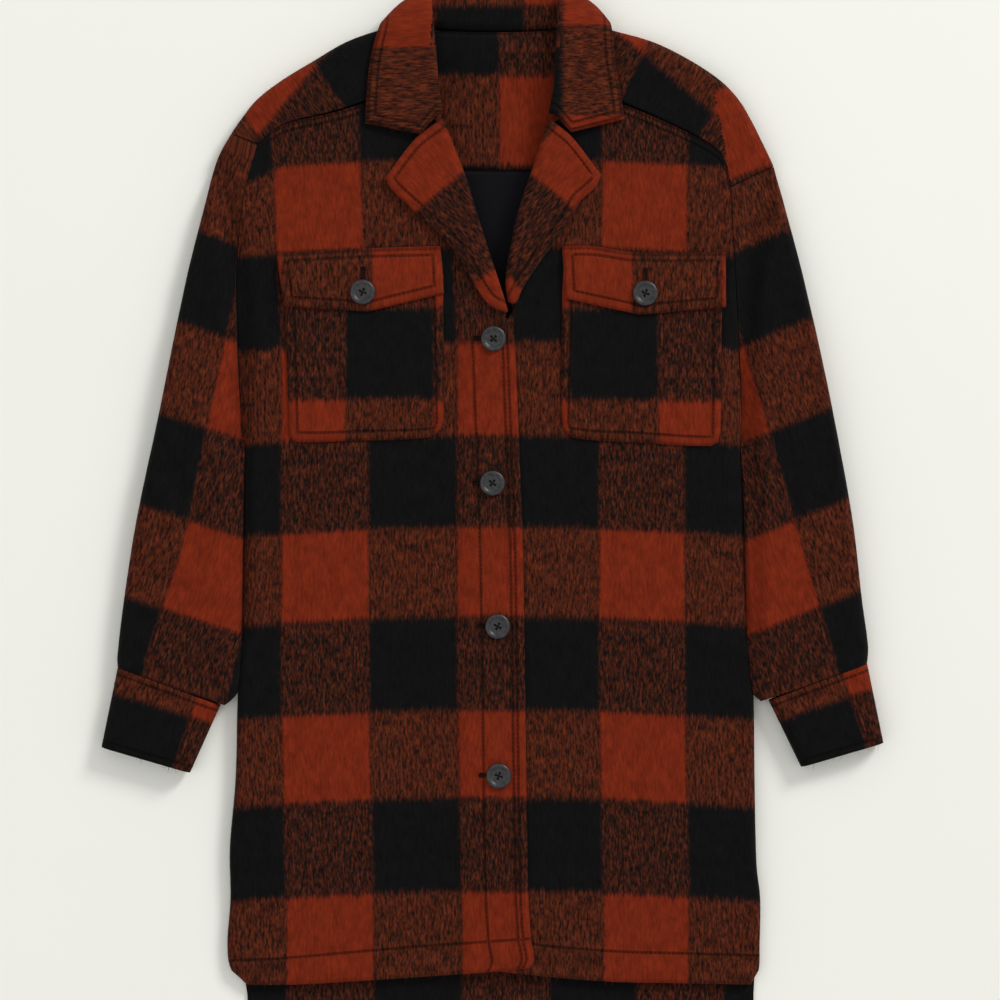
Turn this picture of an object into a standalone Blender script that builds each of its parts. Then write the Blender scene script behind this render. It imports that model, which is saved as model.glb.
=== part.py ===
"""A long shirt jacket of checked wool cloth, buttoned and laid flat on its back.

Sizes are millimetres in the tables and metres in the scene. X runs to the wearer's left,
Y from hem to collar, Z up. The cloth lies on z = 0 and the origin is under its middle.
"""

import math

import bmesh
import bpy
from mathutils import Vector

MM = 0.001
RIGHT = -1
LEFT = 1

# Thickness of each kind of wall, and the gap kept at seams and between layers.
CLOTH = 2.5
FACING = 2.0
LINING = 1.0
COLLAR = 4.5
CUFF = 4.0
FLAP = 3.0
SEAM = 0.3
SIDE_GAP = 0.9
OVERLAP_LIFT = CLOTH + 3.0 * SEAM

# The lapel's fold: radii of its two layers, the length over which it turns, the facing's hidden tail.
LAPEL_INNER = 0.6
LAPEL_OUTER = LAPEL_INNER + CLOTH + 3.0 * SEAM
ROLL_RADIUS = LAPEL_OUTER + FACING
TURN_LENGTH = 9.0
TURN_STEPS = 3
LAPEL_STEPS = 4
FACING_TAIL = 14.0
FACING_START = 0.05

# Radius of the yoke's shoulder fold, and how far the back lies over the collar's leaf.
YOKE_RADIUS = 10.0
VALLEY_RADIUS = 16.0
LEAF_LIFT = 5.2

# The back's first rows, from its hem. It is longer than the fronts below the side slits.
BACK_ENDS = (-498.0, -468.0, -440.0)

# The middle of the back, the ends of the armhole and the place where the lapels start.
CENTRE_X = 2.0
UNDERARM_Y = 57.0
BREAK_Y = {RIGHT: 168.0, LEFT: 177.0}
ROLL_TOP_Y = 363.0
UNDERARM_ROW = 10
TOP_ROW = 20

# Height of the laid body over the floor. Columns: y, height.
HEIGHT = (
    (-498.0, 9.0),
    (-462.0, 10.0),
    (-400.0, 12.5),
    (-300.0, 16.0),
    (-100.0, 19.0),
    (57.0, 20.0),
    (470.0, 20.0),
)

# Rows of the fronts and back. Columns: row, side y, share of the armhole, y at the front edge.
ROWS = (
    (0, -462.0, 0.0, -446.0),
    (1, -449.0, 0.0, -438.0),
    (2, -425.0, 0.0, -420.0),
    (3, -380.0, 0.0, -378.0),
    (4, -320.0, 0.0, -320.0),
    (5, -255.0, 0.0, -255.0),
    (6, -190.0, 0.0, -190.0),
    (7, -125.0, 0.0, -125.0),
    (8, -60.0, 0.0, -60.0),
    (9, 0.0, 0.0, 0.0),
    (10, 57.0, 0.0, 57.0),
    (11, 57.0, 0.17, 100.0),
    (12, 57.0, 0.34, 140.0),
    (13, 57.0, 0.47, 168.0),
    (14, 57.0, 0.51, 177.0),
    (15, 57.0, 0.56, 189.0),
    (16, 57.0, 0.63, 210.0),
    (17, 57.0, 0.71, 243.0),
    (18, 57.0, 0.81, 283.0),
    (19, 57.0, 0.91, 323.0),
    (20, 57.0, 1.0, 363.0),
)

# Columns of a front, as shares of its width from the side seam. The side is rounded.
COLUMNS = (
    *(0.0, 0.005, 0.019, 0.042, 0.09, 0.17, 0.26, 0.36),
    *(0.46, 0.56, 0.65, 0.76, 0.81, 0.84, 0.90, 0.95, 1.0),
)
NECK_COLUMN = 0.84
NECKLINE_STEPS = 4
NECKLINE_SHARE = 0.38

# Side edge of the body with the armhole above the underarm. Columns: y, x.
SIDE = {
    RIGHT: (
        (-498.0, -234.0),
        (-462.0, -236.0),
        (-449.0, -250.0),
        (-425.0, -254.0),
        (-380.0, -251.0),
        (-332.0, -251.5),
        (-266.0, -246.0),
        (-190.0, -244.0),
        (-95.0, -240.0),
        (0.0, -239.0),
        (57.0, -239.5),
        (120.0, -243.0),
        (200.0, -245.0),
        (247.0, -243.0),
        (295.0, -236.0),
        (338.0, -224.0),
    ),
    LEFT: (
        (-498.0, 249.0),
        (-462.0, 246.0),
        (-449.0, 253.0),
        (-425.0, 254.0),
        (-380.0, 254.5),
        (-348.0, 251.0),
        (-266.0, 249.0),
        (-190.0, 248.0),
        (-95.0, 243.5),
        (0.0, 240.0),
        (57.0, 238.0),
        (120.0, 235.0),
        (190.0, 231.5),
        (242.0, 228.0),
        (298.0, 225.0),
    ),
}

# Front edge, then the roll line of the lapel above the break. Columns: y, x.
EDGE = {
    RIGHT: (
        (-446.0, 35.0),
        (-438.0, 39.0),
        (-420.0, 36.0),
        (-368.0, 33.0),
        (-48.0, 28.0),
        (61.0, 24.0),
        (112.0, 22.0),
        (154.0, 20.0),
        (168.0, 17.0),
        (202.0, 7.0),
        (238.0, -5.0),
        (283.0, -19.0),
        (309.0, -27.0),
        (345.0, -41.0),
        (363.0, -49.0),
    ),
    LEFT: (
        (-446.0, -22.0),
        (-100.0, -23.0),
        (100.0, -24.0),
        (132.0, -23.0),
        (168.0, 8.0),
        (177.0, 16.5),
        (189.0, 13.5),
        (210.0, 11.5),
        (240.0, 16.0),
        (276.0, 24.0),
        (315.0, 37.0),
        (345.0, 47.0),
        (363.0, 53.0),
    ),
}

# Where the back's side edges run below the slits. Columns: y, x. Then outlines on the plan.
# Columns: x, y.
BACK_CORNER = {RIGHT: (-498.0, -234.0), LEFT: (-498.0, 249.0)}
BACK_SLIT = {RIGHT: (-450.0, -238.0), LEFT: (-450.0, 249.0)}
HEM = {
    RIGHT: ((-236.0, -462.0), (-191.0, -462.0), (-104.0, -457.0), (-33.0, -452.0), (35.0, -446.0)),
    LEFT: ((246.0, -460.0), (184.0, -458.0), (118.0, -456.0), (57.0, -451.0), (-22.0, -441.0)),
}
YOKE_SEAM = {
    RIGHT: ((-224.0, 338.0), (-211.0, 350.0), (-195.0, 359.0), (-144.0, 372.0), (-75.0, 397.0)),
    LEFT: ((225.0, 298.0), (221.0, 318.0), (212.0, 334.0), (173.0, 356.0), (123.0, 378.0), (87.0, 391.0)),
}
FRONT_NECK = {
    RIGHT: ((-75.0, 397.0), (-63.0, 378.0), (-49.0, 363.0)),
    LEFT: ((87.0, 391.0), (70.0, 375.0), (53.0, 363.0)),
}
SHOULDER = {
    RIGHT: (
        (-250.0, 349.0),
        (-241.0, 362.0),
        (-226.0, 381.0),
        (-203.0, 399.0),
        (-172.0, 418.0),
        (-141.0, 436.0),
        (-110.0, 447.0),
        (-80.0, 455.0),
    ),
    LEFT: (
        (267.0, 318.0),
        (255.0, 343.0),
        (246.0, 361.0),
        (234.0, 381.0),
        (217.0, 399.0),
        (189.0, 418.0),
        (153.0, 436.0),
        (114.0, 447.0),
        (84.0, 455.0),
    ),
}
BACK_NECK = {
    RIGHT: ((-80.0, 455.0), (-62.0, 449.0), (-30.0, 446.5), (CENTRE_X, 446.0)),
    LEFT: ((84.0, 455.0), (66.0, 449.0), (34.0, 446.5), (CENTRE_X, 446.0)),
}
BACK_SEAM = {
    RIGHT: ((-224.0, 338.0), (-120.0, 326.0), (CENTRE_X, 318.0)),
    LEFT: ((225.0, 298.0), (120.0, 311.0), (CENTRE_X, 318.0)),
}
LAPEL_EDGE = {
    RIGHT: (
        (17.0, 168.0),
        (9.0, 178.0),
        (-8.0, 191.0),
        (-36.0, 238.0),
        (-73.0, 273.0),
        (-97.0, 296.0),
        (-102.0, 306.0),
    ),
    LEFT: (
        (16.5, 177.0),
        (21.0, 189.0),
        (26.0, 201.0),
        (44.0, 228.0),
        (71.0, 265.0),
        (80.0, 282.0),
        (97.0, 298.0),
        (101.0, 309.0),
    ),
}
LAPEL_TOP = {
    RIGHT: ((-49.0, 362.0), (-72.0, 344.0), (-102.0, 306.0)),
    LEFT: ((53.0, 362.0), (71.0, 347.0), (101.0, 309.0)),
}
SLEEVE_OUTER = {
    RIGHT: (
        (-250.0, 349.0),
        (-264.0, 323.0),
        (-274.0, 285.0),
        (-293.0, 209.0),
        (-316.0, 95.0),
        (-340.0, -19.0),
        (-352.0, -95.0),
        (-358.5, -150.0),
        (-358.0, -159.0),
    ),
    LEFT: (
        (267.0, 318.0),
        (276.0, 285.0),
        (296.0, 209.0),
        (321.0, 95.0),
        (342.0, -19.0),
        (351.0, -95.0),
        (357.0, -140.0),
        (356.0, -155.5),
    ),
}
SLEEVE_INNER = {
    RIGHT: (
        (-239.5, 57.0),
        (-242.5, 0.0),
        (-244.0, -57.0),
        (-248.0, -133.0),
        (-254.0, -178.0),
        (-260.0, -195.0),
    ),
    LEFT: (
        (238.0, 57.0),
        (242.5, 0.0),
        (245.0, -60.0),
        (249.0, -130.0),
        (257.0, -180.0),
        (262.0, -190.5),
    ),
}
# Corners of the cuffs. Columns: x, y at outer seam, inner seam, inner edge and outer edge.
CUFFS = {
    RIGHT: ((-358.0, -159.0), (-260.0, -195.0), (-289.0, -259.5), (-373.5, -235.0)),
    LEFT: ((356.0, -155.5), (262.0, -190.5), (293.0, -254.0), (371.5, -231.0)),
}

# Shares of the way down the sleeve at which it has a ring.
SLEEVE_RINGS = (0.0, 0.05, 0.11, 0.18, 0.26, 0.34, 0.42, 0.50, 0.58, 0.66, 0.74, 0.82, 0.90, 0.96, 1.0)
# Height of the sleeve along its length. Columns: share of the length, height.
SLEEVE_HEIGHT = ((0.0, 20.0), (0.15, 21.0), (0.35, 24.0), (0.6, 24.0), (0.85, 22.0), (1.0, 20.0))
CUFF_HEIGHT = 20.0

# The collar from the right front end round the neck to the left one. Each row gives its seam to
# the neck, the middle of its fold and its outer edge, then where its outer side faces and how far
# its leaf bows out and sags towards the hem.
# Columns: seam x y z, fold x y z, edge x y z, facing x y z, bow, sag.
COLLAR_ROWS = (
    ((-60.0, 370.0, 19.0), (-53.0, 366.5, 24.0), (-121.0, 358.0, 22.8), (0.0, 0.0, 1.0), 0.0, 17.0),
    ((-70.5, 394.0, 19.0), (-57.0, 394.0, 24.2), (-119.5, 386.0, 22.8), (0.0, 0.0, 1.0), 0.0, 3.0),
    ((-74.5, 425.0, 18.5), (-60.0, 430.0, 24.2), (-116.0, 418.0, 22.8), (0.0, 0.0, 1.0), 0.0, 0.0),
    ((-77.5, 447.0, 16.5), (-63.0, 461.0, 22.0), (-108.5, 445.0, 22.3), (-0.4, 0.45, 0.8), 2.0, 0.0),
    ((-77.0, 459.5, 12.6), (-63.0, 480.0, 14.5), (-101.5, 456.5, 12.6), (-0.65, 0.76, 0.0), 4.0, 0.0),
    ((-68.0, 455.5, 9.0), (-55.0, 487.0, 8.6), (-88.0, 455.0, 5.0), (-0.35, 0.35, -0.87), 2.0, 0.0),
    ((-52.0, 450.5, 7.5), (-41.0, 490.5, 5.8), (-62.0, 443.0, 2.5), (0.0, 0.0, -1.0), 0.0, 0.0),
    ((-26.0, 449.0, 6.8), (-20.0, 492.0, 5.5), (-30.0, 438.0, 2.5), (0.0, 0.0, -1.0), 0.0, 0.0),
    ((2.0, 448.5, 6.8), (2.0, 492.5, 5.5), (2.0, 437.0, 2.5), (0.0, 0.0, -1.0), 0.0, 0.0),
    ((30.0, 449.0, 6.8), (24.0, 492.0, 5.5), (34.0, 438.0, 2.5), (0.0, 0.0, -1.0), 0.0, 0.0),
    ((56.0, 450.5, 7.5), (45.0, 490.5, 5.8), (66.0, 443.0, 2.5), (0.0, 0.0, -1.0), 0.0, 0.0),
    ((72.0, 455.5, 9.0), (59.0, 487.0, 8.6), (92.0, 455.0, 5.0), (0.35, 0.35, -0.87), 2.0, 0.0),
    ((81.0, 459.5, 12.6), (66.0, 480.0, 14.5), (107.0, 456.0, 13.5), (0.65, 0.76, 0.0), 5.0, 0.0),
    ((81.5, 447.0, 16.5), (65.5, 460.0, 22.0), (112.0, 441.0, 22.6), (0.4, 0.45, 0.8), 2.0, 0.0),
    ((80.0, 425.0, 18.5), (64.5, 428.0, 24.2), (115.0, 413.0, 22.8), (0.0, 0.0, 1.0), 0.0, 0.0),
    ((79.0, 396.0, 19.0), (62.5, 394.0, 24.2), (120.0, 386.0, 22.8), (0.0, 0.0, 1.0), 0.0, 3.0),
    ((64.0, 372.0, 19.0), (57.5, 366.5, 24.0), (123.5, 362.0, 22.8), (0.0, 0.0, 1.0), 0.0, 16.0),
)
COLLAR_FOLD = 3.2
COLLAR_FOLD_STEPS = 5
COLLAR_STATIONS = 33

# Share of the leaf's width where its lower edge meets the lapel.
COLLAR_NOTCH = 0.25

# The chest pockets and flaps, as their left, right, top and bottom outlines. Columns: x, y.
POCKETS = {
    RIGHT: {
        "top": ((-195.0, 214.0), (-48.5, 214.0)),
        "bottom": ((-192.5, 61.0), (-186.0, 56.0), (-120.0, 57.5), (-60.0, 60.5), (-52.0, 68.0)),
        "first": ((-192.5, 61.0), (-193.0, 75.0), (-197.0, 179.0), (-195.0, 214.0)),
        "last": ((-52.0, 68.0), (-48.5, 78.0), (-48.5, 214.0)),
    },
    LEFT: {
        "top": ((67.0, 216.0), (217.0, 210.0)),
        "bottom": ((68.0, 68.5), (76.0, 60.0), (140.0, 55.5), (206.0, 52.0), (212.0, 56.5)),
        "first": ((68.0, 68.5), (65.5, 80.0), (66.0, 190.0), (67.0, 216.0)),
        "last": ((212.0, 56.5), (214.5, 66.0), (216.5, 184.0), (217.0, 210.0)),
    },
}
FLAPS = {
    RIGHT: {
        "top": ((-205.0, 233.0), (-117.0, 238.0), (-51.0, 240.0)),
        "bottom": ((-198.0, 185.0), (-122.0, 180.0), (-118.0, 180.0), (-48.0, 197.0)),
    },
    LEFT: {
        "top": ((66.0, 240.0), (95.0, 240.0), (133.0, 234.0), (220.0, 234.0)),
        "bottom": ((69.0, 192.0), (138.0, 177.0), (142.0, 177.0), (220.0, 184.0)),
    },
}

# Buttons down the front and on the flaps. Columns: name, x, y.
BUTTONS = (
    ("button_front_1", 0.0, 153.0),
    ("button_front_2", -1.0, 16.0),
    ("button_front_3", 4.0, -120.0),
    ("button_front_4", 5.0, -262.0),
)
FLAP_BUTTONS = (("button_flap_right", -124.0, 197.0), ("button_flap_left", 144.0, 196.0))
BUTTON_RADIUS = 12.0
# Section of a button from its middle to its underside. Columns: share of the radius, height.
BUTTON_SECTION = (
    (0.0, 2.6),
    (0.62, 2.6),
    (0.74, 3.8),
    (0.92, 3.8),
    (1.0, 2.6),
    (0.96, 0.6),
    (0.6, 0.0),
    (0.0, 0.0),
)

# Soft troughs in the laid sleeves. Columns: start x y, end x y, half width, depth.
CREASES = (
    (-262.0, 262.0, -318.0, -20.0, 26.0, 1.6),
    (-268.0, 60.0, -300.0, -120.0, 20.0, 1.8),
    (262.0, 250.0, 318.0, 0.0, 26.0, 1.6),
    (270.0, 70.0, 302.0, -110.0, 20.0, 1.8),
)

# The laid cloth's colours. Columns: red, green, blue, roughness.
COLOURS = {
    "checked_wool": (0.155, 0.040, 0.022, 0.95),
    "lining": (0.008, 0.009, 0.013, 0.55),
    "horn_button": (0.035, 0.040, 0.050, 0.40),
}


def smooth(low, high, value):
    """0 below low, 1 above high, and an even curve between them."""
    share = min(max((value - low) / (high - low), 0.0), 1.0)
    return share * share * (3.0 - 2.0 * share)


def follow(rows, key, column=1):
    """The value of a table's column where its first column is key, on a smooth curve."""
    keys = [row[0] for row in rows]
    if key <= keys[0]:
        return rows[0][column]
    if key >= keys[-1]:
        return rows[-1][column]
    first = max(place for place, start in enumerate(keys) if start <= key)
    slopes = []
    for place in (first, first + 1):
        before = rows[max(place - 1, 0)]
        after = rows[min(place + 1, len(rows) - 1)]
        slopes.append((after[column] - before[column]) / (after[0] - before[0]))
    span = keys[first + 1] - keys[first]
    share = (key - keys[first]) / span
    start, end = rows[first][column], rows[first + 1][column]
    cubic = 2.0 * share**3 - 3.0 * share**2
    return (
        (cubic + 1.0) * start
        - cubic * end
        + (share**3 - 2.0 * share**2 + share) * span * slopes[0]
        + (share**3 - share**2) * span * slopes[1]
    )


def along(points, share):
    """The point at a share of the length of the smooth curve through points."""
    lengths = [0.0]
    for start, end in zip(points, points[1:]):
        lengths.append(lengths[-1] + math.dist(start, end))
    place = share * lengths[-1]
    rows = [(at, *point) for at, point in zip(lengths, points)]
    return Vector([follow(rows, place, 1 + axis) for axis in range(len(points[0]))])


def bulge(distance, radius):
    """How far a rounded edge has risen, from 0 at the edge to 1 a radius from it."""
    share = min(distance / radius, 1.0)
    return math.sqrt(max(1.0 - (1.0 - share) ** 2, 0.0))


def crease(x, y):
    """Depth of the soft troughs at a place on the cloth."""
    depth = 0.0
    for x1, y1, x2, y2, half_width, deepest in CREASES:
        run = Vector((x2 - x1, y2 - y1))
        place = (Vector((x, y)) - Vector((x1, y1))).dot(run) / run.length_squared
        nearest = Vector((x1, y1)) + run * min(max(place, 0.0), 1.0)
        away = (Vector((x, y)) - nearest).length / half_width
        if away < 1.0:
            depth += deepest * (1.0 - away**2) ** 2 * math.sin(math.pi * min(max(place, 0.05), 0.95))
    return depth


def neck_lift(x, y):
    """How far the back is held off the floor by the collar's leaf under it."""
    return LEAF_LIFT * smooth(385.0, 430.0, y) * (1.0 - smooth(108.0, 155.0, abs(x)))


def side_y(side, row):
    """Y on the side seam or armhole of a row of the body."""
    bend = YOKE_SEAM[side][0][1]
    return follow(ROWS, row, 1) + follow(ROWS, row, 2) * (bend - UNDERARM_Y)


def side_point(side, row):
    """Plan point on the side seam or armhole of a row of the body."""
    y = side_y(side, row)
    return Vector((follow(SIDE[side], y), y))


def seam_drop(side, y):
    """How far the top cloth falls at the side seam, or in the valley along the armhole."""
    half = follow(HEIGHT, y) / 2.0
    return half * (1.0 - smooth(UNDERARM_Y, YOKE_SEAM[side][0][1] - 60.0, y)) ** 1.3


def seam_rise(y):
    """How far the back's side edge stands off the floor, at the seam, the slit and the armhole."""
    half = follow(HEIGHT, y) / 2.0
    return half * smooth(-455.0, -395.0, y) * (1.0 - smooth(UNDERARM_Y, UNDERARM_Y + 50.0, y))


def front_plan(side, column, row):
    """Plan point of a front at a share of its width and a row."""
    first = side_point(side, row)
    edge_y = follow(ROWS, row, 3)
    last = roll_inset(side, row, Vector((follow(EDGE[side], edge_y), edge_y)))
    place = first.lerp(last, column)
    top = smooth(11.0, TOP_ROW, row)
    if top > 0.0:
        ends = side_point(side, TOP_ROW).lerp(Vector(FRONT_NECK[side][-1]), column)
        place += (front_top_edge(side, column) - ends) * top
    bottom = 1.0 - smooth(0.0, 4.0, row)
    if bottom > 0.0:
        ends = Vector(HEM[side][0]).lerp(Vector(HEM[side][-1]), column)
        place += (along(HEM[side], column) - ends) * bottom
    return place


def front_top_edge(side, column):
    """Point on the yoke seam, then on the neckline, at a share of the front's width."""
    if column <= NECK_COLUMN:
        return along(YOKE_SEAM[side], column / NECK_COLUMN)
    return along(FRONT_NECK[side], (column - NECK_COLUMN) / (1.0 - NECK_COLUMN))


def front_height(side, x, y):
    """Height of a front's outer face, away from its side."""
    height = follow(HEIGHT, y)
    if side == RIGHT:
        height += OVERLAP_LIFT * smooth(-40.0, -24.0, x) * (1.0 - smooth(220.0, 275.0, y))
    return height


def lapel_share(side, row):
    """Share of the roll line at a row, from the break to the top of the lapel."""
    return (follow(ROWS, row, 3) - BREAK_Y[side]) / (ROLL_TOP_Y - BREAK_Y[side])


def lapel_turn(side, row, roll):
    """Direction from the roll to the lapel's edge, its width, and the angle turned there."""
    edge = along(LAPEL_EDGE[side], lapel_share(side, row))
    across = edge - roll
    return edge, across.normalized(), across.length, math.pi * min(across.length / TURN_LENGTH, 1.0)


def roll_inset(side, row, roll):
    """The end of the front's flat part, held back from the roll line by the fold's radius."""
    if lapel_share(side, row) <= 0.0:
        return roll
    _edge, out, _width, turn = lapel_turn(side, row, roll)
    return roll + out * ROLL_RADIUS * math.sin(min(turn, math.pi / 2.0))


def lapel_section(side, row, radius, tail):
    """Points round the fold at a row, then across the lapel to its edge, at one layer's radius.

    tail is the length that the layer keeps inside the front.
    """
    edge_y = follow(ROWS, row, 3)
    roll = Vector((follow(EDGE[side], edge_y), edge_y))
    edge, out, width, turn = lapel_turn(side, row, roll)
    start = roll_inset(side, row, roll)
    base = front_height(side, start.x, start.y) + LAPEL_INNER
    points = []
    if tail:
        place = start + out * tail
        points.append((place.x, place.y, base - radius))
    for step in range(TURN_STEPS + 1):
        angle = turn * step / TURN_STEPS
        place = start - out * radius * math.sin(angle)
        points.append((place.x, place.y, base - radius * math.cos(angle)))
    if turn < math.pi:
        last = points[-1]
        flat = max(width - TURN_LENGTH / 2.0, 1.0) / LAPEL_STEPS
        for step in range(1, LAPEL_STEPS + 1):
            forward = -math.cos(turn) * flat * step * 0.5
            points.append((last[0] + out.x * forward, last[1] + out.y * forward, last[2] + 0.02 * step))
        return points
    top = lapel_share(side, row) ** 3
    for step in range(1, LAPEL_STEPS + 1):
        share = step / LAPEL_STEPS
        chord = Vector(LAPEL_TOP[side][0]).lerp(Vector(LAPEL_TOP[side][-1]), share)
        place = start.lerp(edge, share) + (along(LAPEL_TOP[side], share) - chord) * top
        height = front_height(side, place.x, place.y) + LAPEL_INNER + radius - 2.0 * SEAM * share
        points.append((place.x, place.y, height))
    return points


def front_grid(side):
    """Rows of points over a front, from its side to its edge and round the lapel."""
    rows = []
    for row in range(TOP_ROW + 1):
        points = []
        side_end = front_plan(side, 0.0, row)
        drop = seam_drop(side, side_end.y)
        radius = follow(HEIGHT, side_end.y) / 2.0 if row <= UNDERARM_ROW else VALLEY_RADIUS
        for column in COLUMNS:
            place = front_plan(side, column, row)
            away = (place - side_end).length
            height = front_height(side, place.x, place.y) - drop * (1.0 - bulge(away, radius))
            points.append((place.x, place.y, height + SIDE_GAP * (row <= UNDERARM_ROW and column == 0.0)))
        fold = [points[-1]] * (TURN_STEPS + LAPEL_STEPS)
        if lapel_share(side, row) > 0.0:
            fold = lapel_section(side, row, LAPEL_INNER, 0.0)[1:]
        rows.append(points + fold)
    return inset(rows, first_column=SEAM, last_row=SEAM / 2.0)


def inset(rows, first_column=0.0, last_column=0.0, first_row=0.0, last_row=0.0):
    """Pull the outer rows or columns of a grid in, so that a seam keeps its gap."""
    grid = [[Vector(point) for point in row] for row in rows]
    moves = []
    for row in grid:
        moves.append((row, 0, 1, first_column))
        moves.append((row, -1, -2, last_column))
    for outer, inner, gap in ((0, 1, first_row), (-1, -2, last_row)):
        for place in range(len(grid[0])):
            step = grid[inner][place] - grid[outer][place]
            if gap and step.length > gap:
                grid[outer][place] = grid[outer][place] + step.normalized() * gap
    for row, outer, inner, gap in moves:
        step = row[inner] - row[outer]
        if gap and step.length > gap:
            row[outer] = row[outer] + step.normalized() * gap
    return grid


def back_columns():
    """Shares along half the back seam, from armhole to middle, that yoke and back share."""
    shoulder = 1.0 - NECKLINE_SHARE
    shares = [column / NECK_COLUMN * shoulder for column in COLUMNS if column <= NECK_COLUMN]
    shares += [shoulder + NECKLINE_SHARE * step / NECKLINE_STEPS for step in range(1, NECKLINE_STEPS + 1)]
    return shares


def back_grid():
    """Rows of points under the back panel, from the right side seam to the left one."""
    rows = []
    for row in range(-1, TOP_ROW + 1):
        halves = []
        for side in (RIGHT, LEFT):
            y = BACK_ENDS[row + 1] if row <= 1 else side_y(side, row)
            end = Vector((back_side_x(side, y), y))
            middle = Vector((CENTRE_X, end.y))
            top = smooth(11.0, TOP_ROW, row)
            rise = seam_rise(end.y)
            points = []
            for share in back_columns():
                place = end.lerp(middle, share)
                if top > 0.0:
                    ends = side_point(side, TOP_ROW).lerp(Vector((CENTRE_X, side_y(side, TOP_ROW))), share)
                    place += (along(BACK_SEAM[side], share) - ends) * top
                away = (place - end).length
                rounded = bulge(away, follow(HEIGHT, end.y) / 2.0)
                height = rise * (1.0 - rounded) + neck_lift(place.x, place.y)
                points.append((place.x, place.y, max(height - SIDE_GAP * (share == 0.0), 0.0)))
            halves.append(points)
        joined = halves[0][:-1] + [blend(halves[0][-1], halves[1][-1])] + halves[1][-2::-1]
        rows.append(joined)
    return inset(rows, first_column=SEAM, last_column=SEAM, last_row=SEAM / 2.0)


def blend(first, second):
    """The point half way between two."""
    return tuple((a + b) / 2.0 for a, b in zip(first, second))


def back_side_x(side, y):
    """Side edge of the back, which hangs straight below the slit."""
    slit_y = -400.0
    if y > slit_y:
        return follow(SIDE[side], y)
    return follow((BACK_CORNER[side], BACK_SLIT[side], (slit_y, follow(SIDE[side], slit_y))), y)


def fold_steps(length, radius):
    """Distances from a rounded fold at which it has points, out to the far seam."""
    rounded = [radius * (1.0 - math.cos(math.radians(angle))) for angle in (0.0, 30.0, 60.0, 90.0)]
    return rounded + [radius + (length - radius) * share for share in (0.35, 0.7, 1.0)]


def yoke_point(over, far, away, rounded, top):
    """A point of the yoke: away from the shoulder fold point over towards the seam point far."""
    place = over.lerp(far, away / (far - over).length)
    low = neck_lift(place.x, place.y)
    high = follow(HEIGHT, place.y)
    middle = (low + high) / 2.0
    rise = bulge(away, YOKE_RADIUS)
    if top:
        return (place.x, place.y, middle + (high - middle) * rise)
    return (place.x, place.y, low + (middle - low) * (1.0 - rise) * rounded)


def yoke_grids(side):
    """The yoke's front strip and its half of the back, as two grids that share the shoulder."""
    shares = [column / NECK_COLUMN for column in COLUMNS if column <= NECK_COLUMN]
    front = []
    back = []
    for share in shares:
        over = along(SHOULDER[side], share)
        seam = along(YOKE_SEAM[side], share)
        steps = fold_steps((seam - over).length, YOKE_RADIUS)
        front.append([yoke_point(over, seam, away, 1.0, True) for away in steps])
        under = along(BACK_SEAM[side], share * (1.0 - NECKLINE_SHARE))
        steps = fold_steps((under - over).length, YOKE_RADIUS)
        back.append([yoke_point(over, under, away, 1.0, False) for away in steps])
    for step in range(1, NECKLINE_STEPS + 1):
        share = step / NECKLINE_STEPS
        over = along(BACK_NECK[side], share)
        under = along(BACK_SEAM[side], 1.0 - NECKLINE_SHARE * (1.0 - share))
        steps = fold_steps((under - over).length, YOKE_RADIUS)
        rounded = 1.0 - smooth(0.0, 0.45, share)
        back.append([yoke_point(over, under, away, rounded, False) for away in steps])
    front = inset(front, first_row=SEAM / 2.0, last_column=SEAM)
    back = inset(back, first_row=SEAM / 2.0, last_column=SEAM)
    for place in range(len(back[0])):
        back[-1][place].x = CENTRE_X
    return front, back


def armhole_points(side):
    """Plan points of the armhole seam from the shoulder fold over the bend to the underarm."""
    fold = Vector(SHOULDER[side][0])
    bend = Vector(YOKE_SEAM[side][0])
    steps = fold_steps((bend - fold).length, YOKE_RADIUS)
    points = [fold.lerp(bend, away / (bend - fold).length) for away in steps]
    points += [front_plan(side, 0.0, row) for row in range(TOP_ROW - 1, UNDERARM_ROW - 1, -1)]
    return points


def seam_shares(points):
    """Share of a seam's length at each of its points."""
    lengths = [0.0]
    for start, end in zip(points, points[1:]):
        lengths.append(lengths[-1] + (end - start).length)
    return [length / lengths[-1] for length in lengths]


def on_line(points, shares, share):
    """The point at a share of the length of a line of points."""
    for place in range(len(points) - 1):
        if share <= shares[place + 1]:
            span = shares[place + 1] - shares[place]
            return points[place].lerp(points[place + 1], (share - shares[place]) / span)
    return points[-1]


def tube_shares(count, width, radius):
    """Shares across a flattened tube, closer together at its two rounded sides."""
    ends = [radius * (1.0 - math.cos(math.radians(angle))) / width for angle in (0.0, 30.0, 60.0, 90.0)]
    inner = count - 2 * len(ends)
    middle = [ends[-1] + (1.0 - 2.0 * ends[-1]) * (step + 1) / (inner + 1) for step in range(inner)]
    return ends + middle + [1.0 - share for share in reversed(ends)]


def distance_to(points, place):
    """Distance from a place to a line of points."""
    nearest = math.inf
    for start, end in zip(points, points[1:]):
        run = end - start
        share = min(max((place - start).dot(run) / run.length_squared, 0.0), 1.0)
        nearest = min(nearest, (place - start - run * share).length)
    return nearest


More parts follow.
